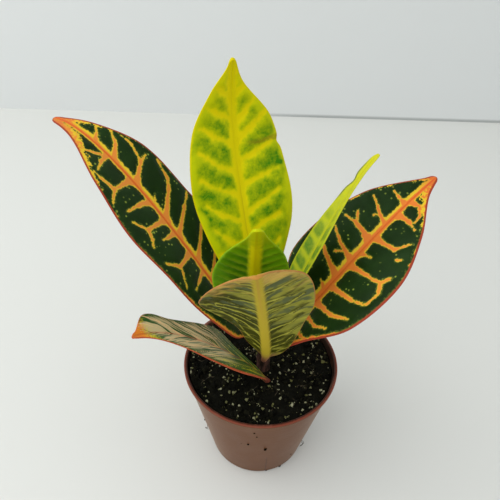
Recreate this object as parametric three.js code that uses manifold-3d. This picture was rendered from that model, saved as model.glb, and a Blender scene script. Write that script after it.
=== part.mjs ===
import * as THREE from "three";
import { mergeVertices } from "three/addons/utils/BufferGeometryUtils.js";
import Module from "manifold-3d";

// A young croton in a small plastic nursery pot. Millimetres, +Z up. The origin is in the middle of
// the pot's underside, +X is to the right and +Y is to the back when the plant is seen from its front.

// Driving dimensions
const SEAT_GAP = 0.3;

const POT = {
  height: 49,
  baseRadius: 19.6,
  neckRadius: 29.3,
  lipRadius: 30,
  lipHeight: 1.2,
  lipRound: 0.35,
  wall: 0.8,
  footCorner: 1.6,
  footRing: 2.4,
  bossRadius: 6,
  recess: 1.2,
  floor: 1.1,
  bevel: 0.5,
  holes: 6,
  holeRadius: 2.4,
  sides: 60,
  arcSteps: 3,
};

const SOIL = {
  level: 46.6,
  edgeDepth: 1.5,
  rings: 12,
  sides: 48,
  ripplePhase: 1.7,
  // Each ripple of the surface: height, and turns per millimetre along X and Y.
  ripples: [
    [-0.7, 0.008, 0],
    [0.32, 0.052, 0.031],
    [0.26, -0.043, 0.071],
    [0.16, 0.117, -0.064],
    [0.12, 0.09, 0.15],
  ],
};

const STEM = {
  foot: [0.8, -2.8, 34],
  top: [1.0, -1.4, 74],
  // Height along the stem as a share of its length, and radius there.
  girth: [
    [0, 1.9],
    [0.1, 2.5],
    [0.29, 2.7],
    [0.42, 2.5],
    [0.47, 2.75],
    [0.53, 2.35],
    [0.6, 2.5],
    [0.68, 2.1],
    [0.76, 2.2],
    [0.86, 1.6],
    [0.94, 0.9],
    [1, 0.25],
  ],
  sides: 20,
};

const BLADE = {
  thickness: 0.7,
  petioleRadius: 1.15,
  ribRadius: 1.0,
  ribTaper: 0.75,
  ribShare: 0.4,
  baseHalfWidth: 0.9,
  tipHalfWidth: 0.3,
  // The tip is as wide as this share of the last half-width, and is rounded off beyond roundFrom.
  tipShare: 0.85,
  roundFrom: 0.97,
  tipRings: [0.97, 0.982, 0.992, 0.998, 1],
  // Half-widths are given at these shares of the blade's length, from its base to its tip.
  stations: [0.06, 0.18, 0.35, 0.55, 0.75, 0.9, 0.97],
  // Where the blade is divided across: at the midrib's edge, then at these shares of the half-width.
  columns: ["rib", 0.42, 0.72, 1],
  petioleSteps: 4,
  // The stalk turns from round to flat between these shares of the blade's length.
  spread: [-0.05, 0.08],
};

// One entry for each leaf. The midrib runs from foot to tip as one curve drawn towards two bends.
// Heading is the compass direction that the leaf leans in, counter-clockwise from +X, and roll turns
// the blade about its midrib. Fold lifts both halves into a V, curl is how much further a half has
// turned at its margin, and left and right are the half-widths. Roll and fold have a value for the
// base and one for the tip. A wave has its height, its number along the blade, its phase and its side.
const LEAVES = [
  {
    name: "leaf_tall",
    foot: [1, -1.7, 66],
    bends: [[-6, 11, 98], [-15, 30, 133]],
    tip: [-12, 17, 159],
    heading: 110,
    petiole: 9,
    roll: [-6, -9],
    fold: [11, 11],
    curl: -15,
    left: [5, 10, 15, 17.5, 14.5, 7, 1.8],
    right: [5, 11, 18, 18, 13.5, 4, 1.6],
    waves: [[0.7, 2.5, 0.1, 1], [0.5, 3, 0.4, -1]],
    steps: 28,
    color: 0xc3c61c,
  },
  {
    name: "leaf_left",
    foot: [0.9, -2.3, 55],
    bends: [[-15, -3, 85], [-50, 15, 138]],
    tip: [-69, 21, 137.7],
    heading: 160,
    petiole: 11,
    roll: [1, 3],
    fold: [14, 14],
    curl: -16,
    left: [7.5, 12, 15.5, 17, 13.5, 5.6, 3.2],
    right: [5, 11, 17, 16.5, 13.5, 5.8, 1.8],
    waves: [[0.5, 2.5, 0.3, 1], [0.6, 3, 0, -1]],
    steps: 30,
    color: 0x1c3a22,
  },
  {
    name: "leaf_right",
    foot: [0.9, -2.2, 54],
    bends: [[12, -11, 80], [33, 4, 108]],
    tip: [57, 21, 120.5],
    heading: 25,
    petiole: 11,
    roll: [15, -28],
    fold: [20, 12],
    curl: -15,
    left: [5.5, 11.5, 21.5, 19.5, 14, 5.7, 2.2],
    right: [6, 11.5, 20.5, 20, 12.5, 4, 1.6],
    waves: [[0.6, 2.5, 0.2, 1], [0.5, 3, 0.5, -1]],
    steps: 30,
    color: 0x1c3a22,
  },
  {
    name: "leaf_narrow",
    foot: [1, -1.8, 64],
    bends: [[12, -4, 91], [19, 2, 120]],
    tip: [34, 14, 132],
    heading: 38,
    petiole: 9,
    roll: [31, 22],
    fold: [27, 20],
    curl: -6,
    left: [2.5, 4.5, 6.5, 5.5, 3, 2, 1.5],
    right: [2.5, 5, 7, 7, 3.5, 2, 2],
    waves: [],
    steps: 24,
    color: 0x9cb32e,
  },
  {
    name: "leaf_small",
    foot: [1, -1.6, 68],
    bends: [[-5, -9, 88], [-4, -17, 110]],
    tip: [-4, -30, 133],
    heading: -95,
    petiole: 7,
    roll: [-9, -6],
    fold: [8, 11],
    curl: -10,
    left: [3.5, 7, 10.5, 10.5, 8, 3.5, 2],
    right: [3.5, 7, 12, 12.5, 8.5, 3, 1.5],
    waves: [],
    steps: 24,
    color: 0x4d8f1e,
  },
  {
    name: "leaf_front",
    foot: [0.9, -2.4, 52],
    bends: [[3, -19, 72], [-4, -24, 115]],
    tip: [-4, -52, 137],
    heading: -93,
    petiole: 9,
    roll: [7, -18],
    fold: [13, 8],
    curl: -15,
    left: [4.5, 8.5, 12, 15, 13, 5, 2.5],
    right: [3, 6.5, 9, 17, 13.5, 5.5, 2],
    waves: [[0.8, 2, 0.2, 1], [0.8, 2, 0.6, -1]],
    steps: 30,
    color: 0x6a6a34,
  },
  {
    name: "leaf_low",
    foot: [6, -6.5, 37],
    bends: [[3.5, -11, 57], [-29, -6, 76.5]],
    tip: [-41, -24, 86.5],
    heading: 196,
    petiole: 10,
    roll: [-14, 2],
    fold: [4, 23],
    curl: -12,
    left: [2.5, 7, 11, 11, 7, 3, 1.5],
    right: [2.5, 4.5, 9.5, 8.5, 6, 6.5, 1.6],
    waves: [[0.8, 2.5, 0.1, 1]],
    steps: 28,
    color: 0x36503a,
  },
];

// The hole for the lowest stalk: how far it follows the stalk, as a share of the stalk's length, and
// how much it widens on the way up.
const PLUG = { reach: 1.15, steps: 6, flare: 0.12, sides: 14 };

const COLORS = { pot: 0x8a5a48, soil: 0x17120f, stem: 0x5c4a3a };

// Solid joining and cutting
const wasm = await Module();
wasm.setup();

function solidOf(geometry) {
  const bare = geometry.clone();
  bare.deleteAttribute("normal");
  bare.deleteAttribute("uv");
  const merged = mergeVertices(bare, 1e-4);
  return new wasm.Manifold(
    new wasm.Mesh({
      numProp: 3,
      vertProperties: merged.attributes.position.array,
      triVerts: new Uint32Array(merged.index.array),
    }),
  );
}

function geometryOf(solid) {
  const mesh = solid.getMesh();
  const geometry = new THREE.BufferGeometry();
  geometry.setAttribute("position", new THREE.BufferAttribute(mesh.vertProperties, 3));
  geometry.setIndex(new THREE.BufferAttribute(mesh.triVerts, 1));
  geometry.computeVertexNormals();
  return geometry;
}

// A closed skin over rings of points: each ring has the same number of points, counter-clockwise
// when it is looked at against the way that the rings run, and a fan closes each end.
function loft(rings) {
  const count = rings[0].length;
  const points = rings.flat();
  const triangles = [];
  const at = (ring, k) => ring * count + (k % count);
  for (let i = 0; i + 1 < rings.length; i++) {
    for (let k = 0; k < count; k++) {
      triangles.push(at(i, k), at(i, k + 1), at(i + 1, k + 1));
      triangles.push(at(i, k), at(i + 1, k + 1), at(i + 1, k));
    }
  }
  const middleOf = (ring) => ring.reduce((sum, p) => sum.add(p), new THREE.Vector3()).divideScalar(count);
  const first = points.push(middleOf(rings[0])) - 1;
  const last = points.push(middleOf(rings[rings.length - 1])) - 1;
  for (let k = 0; k < count; k++) {
    triangles.push(first, at(0, k + 1), at(0, k));
    triangles.push(last, at(rings.length - 1, k), at(rings.length - 1, k + 1));
  }
  const geometry = new THREE.BufferGeometry().setFromPoints(points);
  geometry.setIndex(triangles);
  return geometry;
}

function circle(middle, u, v, radius, sides) {
  return Array.from({ length: sides }, (_, k) => {
    const angle = (2 * Math.PI * k) / sides;
    return middle
      .clone()
      .addScaledVector(u, radius * Math.cos(angle))
      .addScaledVector(v, radius * Math.sin(angle));
  });
}

// Pot
function outerRadius(z) {
  return POT.baseRadius + ((POT.neckRadius - POT.baseRadius) * z) / (POT.height - POT.lipHeight);
}

function innerRadius(z) {
  return outerRadius(z) - POT.wall;
}

// A rounded corner of the pot's profile: a quarter turn about its middle, from a start angle
function corner(r, z, radius, start) {
  return Array.from({ length: POT.arcSteps + 1 }, (_, k) => {
    const angle = start + (Math.PI / 2) * (k / POT.arcSteps);
    return [r + radius * Math.cos(angle), z + radius * Math.sin(angle)];
  });
}

function potGeometry() {
  const floorTop = POT.recess + POT.floor;
  const ringInner = POT.baseRadius - POT.footCorner - POT.footRing;
  const lipUnder = POT.height - POT.lipHeight;
  const lipMiddle = POT.lipRadius - POT.lipRound;
  const lipTop = POT.height - POT.lipRound;
  const mouth = innerRadius(POT.height);
  const profile = [
    [0, 0],
    [POT.bossRadius, 0],
    [POT.bossRadius + POT.bevel, POT.recess],
    [ringInner - POT.bevel, POT.recess],
    [ringInner, 0],
    ...corner(outerRadius(POT.footCorner) - POT.footCorner, POT.footCorner, POT.footCorner, -Math.PI / 2),
    [outerRadius(lipUnder), lipUnder],
    ...corner(lipMiddle, lipUnder + POT.lipRound, POT.lipRound, -Math.PI / 2),
    ...corner(lipMiddle, lipTop, POT.lipRound, 0),
    ...corner(mouth + POT.lipRound, lipTop, POT.lipRound, Math.PI / 2),
    [innerRadius(floorTop), floorTop],
    [0, floorTop],
  ];
  const lathe = new THREE.LatheGeometry(profile.map(([r, z]) => new THREE.Vector2(r, z)), POT.sides);
  lathe.rotateX(Math.PI / 2);
  let pot = solidOf(lathe);
  for (let k = 0; k < POT.holes; k++) {
    const angle = (2 * Math.PI * (k + 0.5)) / POT.holes;
    const drill = new THREE.CylinderGeometry(POT.holeRadius, POT.holeRadius, 4 * floorTop, 16);
    drill.rotateX(Math.PI / 2);
    const reach = (POT.bossRadius + ringInner) / 2;
    drill.translate(reach * Math.cos(angle), reach * Math.sin(angle), floorTop / 2);
    pot = pot.subtract(solidOf(drill));
  }
  return geometryOf(pot);
}

// Soil, with its bumpy surface and plain holes for the stem and the lowest leaf's stalk
function soilHeight(x, y) {
  return SOIL.ripples.reduce(
    (sum, [height, alongX, alongY], k) =>
      sum + height * Math.sin(2 * Math.PI * (alongX * x + alongY * y) + SOIL.ripplePhase * k),
    SOIL.level,
  );
}

function soilGeometry(plugs) {
  const bottom = POT.recess + POT.floor + SEAT_GAP;
  const edgeLevel = SOIL.level - SOIL.edgeDepth;
  const edge = innerRadius(edgeLevel) - SEAT_GAP;
  const ringAt = (radius, heightOf) =>
    Array.from({ length: SOIL.sides }, (_, k) => {
      const angle = (2 * Math.PI * k) / SOIL.sides;
      const x = radius * Math.cos(angle);
      const y = radius * Math.sin(angle);
      return new THREE.Vector3(x, y, heightOf(x, y));
    });
  const rings = [ringAt(innerRadius(bottom) - SEAT_GAP, () => bottom), ringAt(edge, () => edgeLevel)];
  for (let k = SOIL.rings; k > 0; k--) rings.push(ringAt((edge * k) / SOIL.rings, soilHeight));
  return geometryOf(plugs.reduce((soil, plug) => soil.subtract(plug), solidOf(loft(rings))));
}

// Stem. Grown by an extra radius it also cuts the stalks' seats and its own hole in the soil.
function stemGeometry(extra = 0, below = 0) {
  const foot = new THREE.Vector3(...STEM.foot);
  const along = new THREE.Vector3(...STEM.top).sub(foot);
  const length = along.length();
  along.normalize();
  const u = new THREE.Vector3(1, 0, 0).addScaledVector(along, -along.x).normalize();
  const v = along.clone().cross(u);
  return loft(
    STEM.girth.map(([share, radius], k) => {
      const middle = foot.clone().addScaledVector(along, share * length - (k === 0 ? below : 0));
      return circle(middle, u, v, radius + extra, STEM.sides);
    }),
  );
}

// Half-width at a share t of the blade's length: a smooth line through the values at the stations,
// rounded off at the tip.
function halfWidth(values, t) {
  const xs = [0, ...BLADE.stations, 1];
  const ys = [BLADE.baseHalfWidth, ...values, BLADE.tipShare * values[values.length - 1]];
  const slopeAt = (i) => {
    const low = Math.max(i - 1, 0);
    const high = Math.min(i + 1, xs.length - 1);
    return (ys[high] - ys[low]) / (xs[high] - xs[low]);
  };
  let i = 0;
  while (i < xs.length - 2 && t > xs[i + 1]) i++;
  const span = xs[i + 1] - xs[i];
  const u = THREE.MathUtils.clamp((t - xs[i]) / span, 0, 1);
  const rise = u * u * (3 - 2 * u);
  const bend = span * (slopeAt(i) * u * (1 - u) ** 2 - slopeAt(i + 1) * u * u * (1 - u));
  const past = Math.max(t - BLADE.roundFrom, 0) / (1 - BLADE.roundFrom);
  const width = (ys[i] * (1 - rise) + ys[i + 1] * rise + bend) * Math.sqrt(1 - past ** 2);
  return Math.max(width, BLADE.tipHalfWidth);
}

function midribOf(leaf) {
  const points = [leaf.foot, ...leaf.bends, leaf.tip].map((p) => new THREE.Vector3(...p));
  return new THREE.CubicBezierCurve3(...points);
}

// Leaf: a round stalk that widens into a thin folded blade with a raised midrib below
function leafGeometry(leaf) {
  const curve = midribOf(leaf);
  const length = curve.getLength();
  const stalk = leaf.petiole / length;
  const heading = THREE.MathUtils.degToRad(leaf.heading);
  const side = new THREE.Vector3(Math.sin(heading), -Math.cos(heading), 0);
  const widest = Math.max(...leaf.left, ...leaf.right);
  const bend = THREE.MathUtils.degToRad(leaf.curl) / widest;

  function sectionAt(t) {
    const share = t < 0 ? stalk * (1 + t) : stalk + (1 - stalk) * t;
    const middle = curve.getPointAt(share);
    const along = curve.getTangentAt(share);
    const inBlade = Math.max(t, 0);
    const across = side.clone().addScaledVector(along, -side.dot(along)).normalize();
    const roll = THREE.MathUtils.degToRad(THREE.MathUtils.lerp(...leaf.roll, inBlade));
    across.applyAxisAngle(along, -roll);
    const up = across.clone().cross(along);
    const fold = THREE.MathUtils.degToRad(THREE.MathUtils.lerp(...leaf.fold, inBlade));
    const spread = THREE.MathUtils.smoothstep(t, ...BLADE.spread);
    const rib = BLADE.ribRadius * (1 - BLADE.ribTaper * inBlade);

    function pointAt(hand, fraction, onTop) {
      const width = halfWidth(hand > 0 ? leaf.right : leaf.left, inBlade);
      const out = fraction === "rib" ? Math.min(rib, BLADE.ribShare * width) : fraction * width;
      const turned = fold + bend * out;
      const flat = (Math.sin(turned) - Math.sin(fold)) / bend;
      let lift = (Math.cos(fold) - Math.cos(turned)) / bend;
      for (const [height, number, phase, ofSide] of leaf.waves) {
        if (ofSide * hand > 0) {
          const swing = Math.sin(2 * Math.PI * (number * inBlade + phase));
          lift += height * swing * (out / widest) ** 1.5;
        }
      }
      const depth = onTop ? BLADE.thickness / 2 : -BLADE.thickness / 2 - (fraction === 0 ? rib : 0);
      const blade = middle
        .clone()
        .addScaledVector(across, hand * (flat - depth * Math.sin(turned)))
        .addScaledVector(up, lift + depth * Math.cos(turned));
      const step = BLADE.columns.indexOf(fraction) + 1;
      const angle = ((Math.PI / 2) * step) / (BLADE.columns.length + 0.5);
      const round = middle
        .clone()
        .addScaledVector(across, hand * BLADE.petioleRadius * Math.sin(angle))
        .addScaledVector(up, (onTop ? 1 : -1) * BLADE.petioleRadius * Math.cos(angle));
      return round.lerp(blade, spread);
    }

    const outward = BLADE.columns;
    const inward = [...outward].reverse();
    return [
      ...inward.map((f) => pointAt(-1, f, true)),
      pointAt(1, 0, true),
      ...outward.map((f) => pointAt(1, f, true)),
      ...inward.map((f) => pointAt(1, f, false)),
      pointAt(1, 0, false),
      ...outward.map((f) => pointAt(-1, f, false)),
    ];
  }

  const rings = [];
  for (let k = 0; k < BLADE.petioleSteps; k++) rings.push(sectionAt(-1 + k / BLADE.petioleSteps));
  const lastEven = Math.floor(leaf.steps * BLADE.roundFrom - 0.5);
  for (let k = 0; k <= lastEven; k++) rings.push(sectionAt(k / leaf.steps));
  for (const t of BLADE.tipRings) rings.push(sectionAt(t));
  return loft(rings);
}

// A plug a little wider than a leaf's stalk, which follows it out of the ground for its hole
function stalkPlug(leaf) {
  const curve = midribOf(leaf);
  const share = (PLUG.reach * leaf.petiole) / curve.getLength();
  const rings = [];
  for (let k = 0; k <= PLUG.steps; k++) {
    const middle = curve.getPointAt((share * k) / PLUG.steps);
    const along = curve.getTangentAt((share * k) / PLUG.steps);
    const u = new THREE.Vector3(1, 0, 0).addScaledVector(along, -along.x).normalize();
    const v = along.clone().cross(u);
    if (k === 0) middle.addScaledVector(along, -SEAT_GAP);
    const radius = (BLADE.petioleRadius + SEAT_GAP) * (1 + (PLUG.flare * k) / PLUG.steps);
    rings.push(circle(middle, u, v, radius, PLUG.sides));
  }
  return solidOf(loft(rings));
}

// Assembly
const plant = new THREE.Group();

function addPiece(name, geometry, color, roughness) {
  const material = new THREE.MeshStandardMaterial({ color, roughness, metalness: 0 });
  const mesh = new THREE.Mesh(geometry, material);
  mesh.name = name;
  plant.add(mesh);
}

const stemSeat = solidOf(stemGeometry(SEAT_GAP));
const lowest = LEAVES[LEAVES.length - 1];

addPiece("pot", potGeometry(), COLORS.pot, 0.45);
const plugs = [solidOf(stemGeometry(SEAT_GAP, SEAT_GAP)), stalkPlug(lowest)];
addPiece("soil", soilGeometry(plugs), COLORS.soil, 0.95);
addPiece("stem", stemGeometry(), COLORS.stem, 0.8);
for (const leaf of LEAVES) {
  const grown = solidOf(leafGeometry(leaf));
  const seated = leaf === lowest ? grown : grown.subtract(stemSeat);
  const pieces = seated.decompose().sort((a, b) => b.volume() - a.volume());
  addPiece(leaf.name, geometryOf(pieces[0]), leaf.color, 0.4);
}

export default plant;
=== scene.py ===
import math

import bmesh
import bpy
import numpy as np
from bpy.props import FloatProperty, FloatVectorProperty, IntProperty, PointerProperty
from mathutils import Matrix, Vector, noise


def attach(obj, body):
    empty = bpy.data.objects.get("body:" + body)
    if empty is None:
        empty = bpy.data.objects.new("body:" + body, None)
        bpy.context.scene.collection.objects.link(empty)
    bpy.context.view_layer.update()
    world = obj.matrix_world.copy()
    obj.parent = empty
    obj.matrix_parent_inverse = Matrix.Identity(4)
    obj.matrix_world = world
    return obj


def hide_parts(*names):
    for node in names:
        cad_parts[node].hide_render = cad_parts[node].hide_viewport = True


bl_info = {
    "name": "Potted Croton",
    "version": (1, 0, 0),
    "blender": (4, 5, 0),
    "location": "3D View > Sidebar > Croton",
    "description": "Dresses a young croton in its nursery pot: leaves, stem, soil, pot and stage",
    "category": "Add Mesh",
}

MM = 0.001
BAKE_MAP = "OFBake"

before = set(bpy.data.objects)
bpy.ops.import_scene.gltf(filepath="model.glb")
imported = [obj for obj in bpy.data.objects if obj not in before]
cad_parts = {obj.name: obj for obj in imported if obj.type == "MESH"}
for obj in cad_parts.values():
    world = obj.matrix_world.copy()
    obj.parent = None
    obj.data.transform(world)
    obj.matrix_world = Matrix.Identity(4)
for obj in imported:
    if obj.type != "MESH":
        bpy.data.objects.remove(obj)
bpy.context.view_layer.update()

# Forms shared with the solids, in millimetres, with +Z up and the origin under the pot's middle.

POT = {
    "height": 49,
    "base": 19.6,
    "neck": 29.3,
    "lip": 30,
    "lip_height": 1.2,
    "lip_round": 0.35,
    "wall": 0.8,
    "foot_corner": 1.6,
    "foot_ring": 2.4,
    "boss": 6,
    "recess": 1.2,
    "floor": 1.1,
    "bevel": 0.5,
    "holes": 6,
    "hole_radius": 2.4,
}
LIP_UNDER = POT["height"] - POT["lip_height"]
FLOOR_TOP = POT["recess"] + POT["floor"]
FOOT_RING_INNER = POT["base"] - POT["foot_corner"] - POT["foot_ring"]
SOIL = {
    "level": 46.6,
    "edge_depth": 1.5,
    "seat_gap": 0.3,
    "wall_gap": 0.1,
    "phase": 1.7,
    "ripples": [
        (-0.7, 0.008, 0),
        (0.32, 0.052, 0.031),
        (0.26, -0.043, 0.071),
        (0.16, 0.117, -0.064),
        (0.12, 0.09, 0.15),
    ],
}
STEM = {
    "foot": (0.8, -2.8, 34),
    "top": (1.0, -1.4, 74),
    "girth": [
        (0, 1.9),
        (0.1, 2.5),
        (0.29, 2.7),
        (0.42, 2.5),
        (0.47, 2.75),
        (0.53, 2.35),
        (0.6, 2.5),
        (0.68, 2.1),
        (0.76, 2.2),
        (0.86, 1.6),
        (0.94, 0.9),
        (1, 0.25),
    ],
}
STATIONS = (0.06, 0.18, 0.35, 0.55, 0.75, 0.9, 0.97)
BASE_HALF_WIDTH = 0.9
TIP_SHARE = 0.85
ROUND_FROM = 0.97
SPREAD = (-0.05, 0.08)
RIB_TAPER = 0.75

# How a leaf's fine skin is divided. The last rings at the tip and the last columns at the margin are
# shares of the blade's length and half-width. Lower faces have their own part of the plan, so that
# their noise isn't that of the upper faces.
MIDRIB_POINTS = 1001
STALK_STEP = 0.8
TIP_RINGS = (0.9965, 0.9985, 0.9996, 1)
EVEN_COLUMNS = 0.985
EDGE_COLUMNS = (0.994, 1.0)
LEAST_HALF_WIDTH = 0.15
UPPER_PLAN = 40.0
# Side veins that come closer than this flow into one another.
VEIN_BLEND = 1.2
FAR_FROM_VEINS = 9.0
# What each point of a leaf knows besides its plan: the distances to the side veins, to the midrib's
# band, to the margin and to the rim's band, and whether it is on the upper face.
LAYERS = ("vein", "rib", "edge", "rim", "upper")
# The bake map's free edge, the height of each face's strip in it, and where the lower face's starts.
BAKE_EDGE = 0.02
STRIP_HEIGHT = 0.46
LOWER_STRIP = 0.52

# A side vein has its side, -1 for left and 1 for right, its width where it starts, and then points
# along the blade and out from the midrib, in millimetres.
LEFT_VEINS = [
    (-1, 0.9, (7, 0), (8, 2.5)),
    (-1, 1.1, (15, 0), (17, 3.5)),
    (-1, 1.2, (24, 0), (25, 6), (28, 10)),
    (-1, 1.1, (32.5, 0), (32, 5), (31, 9.5)),
    (-1, 1.7, (40.5, 0), (40.5, 9), (45, 13.5)),
    (-1, 0.5, (40, 9), (37, 11), (34, 12.5)),
    (-1, 1.2, (49, 0), (49.5, 4), (50.5, 7.5)),
    (-1, 1.5, (54.5, 0), (56, 9.5), (61, 12.5)),
    (-1, 1.1, (56, 9.5), (53, 11), (51, 13)),
    (-1, 1.5, (62, 0), (63.5, 5), (64.5, 11.5)),
    (-1, 1.7, (71, 0), (72, 9.5), (69, 14)),
    (-1, 1.2, (72, 9.5), (77, 10.5), (80, 10.5)),
    (-1, 1.2, (82, 0), (81, 5), (79.5, 9)),
    (-1, 1.2, (83, 2.5), (87, 6.5)),
    (1, 1.2, (9, 0), (14, 6), (17, 9)),
    (1, 1.3, (18, 0), (24, 8), (28, 12)),
    (1, 1.3, (27, 0), (34, 9), (38, 13)),
    (1, 1.5, (36, 0), (44, 10.5), (48, 14.5)),
    (1, 1.5, (47, 0), (53, 9.5), (56.5, 16)),
    (1, 1.7, (54, 0), (61, 9), (64, 12), (71, 13.5)),
    (1, 0.7, (60, 0.5), (63, 3.5)),
    (1, 1.7, (69, 0), (73.5, 7), (74.5, 11)),
    (1, 0.6, (74, 7.5), (80, 9.5), (84, 9)),
    (1, 1.4, (79, 0), (83, 5), (87.5, 8)),
    (1, 1.1, (87, 0), (89, 3), (91, 5)),
]
RIGHT_VEINS = [
    (-1, 1.3, (6, 0), (10, 4), (12, 7)),
    (-1, 1.4, (14, 0), (18, 6), (20, 11)),
    (-1, 1.5, (22, 0), (26, 8), (28, 14)),
    (-1, 1.3, (29, 0), (30.5, 4)),
    (-1, 1.8, (35, 0), (38, 8), (41, 13.5), (44, 17)),
    (-1, 1.4, (42.5, 0), (45, 8), (48, 13)),
    (-1, 0.8, (41.5, 6.8), (43, 5)),
    (-1, 1.9, (51.5, 0), (53.5, 8), (57, 10.5)),
    (-1, 0.6, (53.5, 8), (53, 13)),
    (-1, 0.9, (59, 0), (60.5, 4), (63, 8), (64, 10)),
    (-1, 0.6, (59, 5.5), (60, 4.8)),
    (-1, 1.0, (68.5, 0), (69.5, 6)),
    (1, 1.2, (5, 0), (7, 5), (9, 9)),
    (1, 1.4, (12, 0), (14, 8), (16, 12)),
    (1, 1.4, (18, 0), (20, 9), (23, 13.5)),
    (1, 1.7, (24, 0), (26.5, 11), (30, 17)),
    (1, 1.7, (31.5, 0), (34, 12), (36, 17)),
    (1, 1.7, (41, 0), (43, 12.5), (43.5, 14.5)),
    (1, 1.2, (43.5, 14.5), (41, 17), (36.5, 17.5)),
    (1, 1.2, (43.5, 14.5), (47, 16)),
    (1, 1.0, (46.5, 0), (47.5, 5)),
    (1, 1.5, (53.5, 0), (54, 9), (59, 12)),
    (1, 0.8, (52, 12.5), (53, 13.5)),
    (1, 1.5, (64, 0), (64.5, 5), (63, 9)),
    (1, 1.2, (70.5, 0), (71, 4), (68, 6.5), (65, 7)),
    (1, 1.0, (71, 5), (76, 3)),
]
TALL_VEINS = [
    (-1, 1.0, (6, 0), (10, 5), (13, 8)),
    (-1, 1.1, (16, 0), (20, 7), (25, 11)),
    (-1, 1.1, (26, 0), (28, 7), (34, 12)),
    (-1, 1.1, (34, 0), (38, 8.5), (43, 13.5)),
    (-1, 1.1, (43.5, 0), (47, 8), (52, 14)),
    (-1, 1.1, (51, 0), (55, 7), (61, 13)),
    (-1, 1.1, (60.5, 0), (65, 7), (69, 11.5)),
    (-1, 1.0, (69, 0), (73, 6), (76, 9.5)),
    (-1, 1.0, (77, 0), (80, 4), (82, 6)),
    (1, 1.0, (8, 0), (12, 6), (14, 9)),
    (1, 1.0, (18, 0), (22, 8), (25, 12)),
    (1, 1.1, (28, 0), (32, 6), (34, 13)),
    (1, 1.1, (36, 0), (40, 8), (43, 14.5)),
    (1, 1.1, (46, 0), (48.5, 8), (50, 14.5)),
    (1, 1.2, (54.5, 0), (57.5, 8), (60, 14)),
    (1, 1.1, (61.5, 0), (66, 7), (71, 12)),
    (1, 1.0, (68, 0), (71, 4), (76, 8)),
    (1, 1.0, (77, 0), (80, 4), (83, 5)),
]
FRONT_VEINS = [
    (-1, 0.7, (7, 0), (11, 4), (15, 7)),
    (-1, 0.8, (14, 0), (19, 6), (25, 9)),
    (-1, 0.8, (22, 0), (27, 7), (33, 11)),
    (-1, 0.8, (30, 0), (36, 8.5), (43, 11.5)),
    (-1, 0.8, (38.5, 0), (43, 8.5), (51, 13)),
    (-1, 0.8, (46.5, 0), (51, 7.5), (58, 12)),
    (-1, 0.8, (54, 0), (57, 8), (61, 11.5)),
    (-1, 0.9, (62, 0), (65, 8), (69, 11)),
    (-1, 1.0, (70, 0), (73, 5), (76, 8)),
    (1, 0.7, (8, 0), (14, 2.5), (20, 5)),
    (1, 0.7, (14, 0), (25, 5.5), (40, 9)),
    (1, 0.8, (24, 0), (37, 6), (45, 12), (52, 15.5), (62, 15.5)),
    (1, 0.8, (33, 0), (43, 8), (49, 12.5)),
    (1, 0.8, (40, 0), (46, 7), (51, 12.5), (60, 13)),
    (1, 0.8, (47, 0), (50, 7), (54, 12), (62, 12)),
    (1, 0.8, (54, 0), (58, 7.5), (66, 11), (72, 10)),
    (1, 0.8, (62, 0), (69, 5.5), (76, 8)),
    (1, 0.8, (71, 0), (76, 4), (81, 5)),
]


def comb(starts, lean, width, side):
    """A regular row of side veins, each of which leaves the midrib and turns towards the tip."""
    steps = ((0, 0), (3.2, 4), (7.5, 8), (14, 12))
    return [(side, width, *((start + ahead * lean, out) for ahead, out in steps)) for start in starts]


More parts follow.
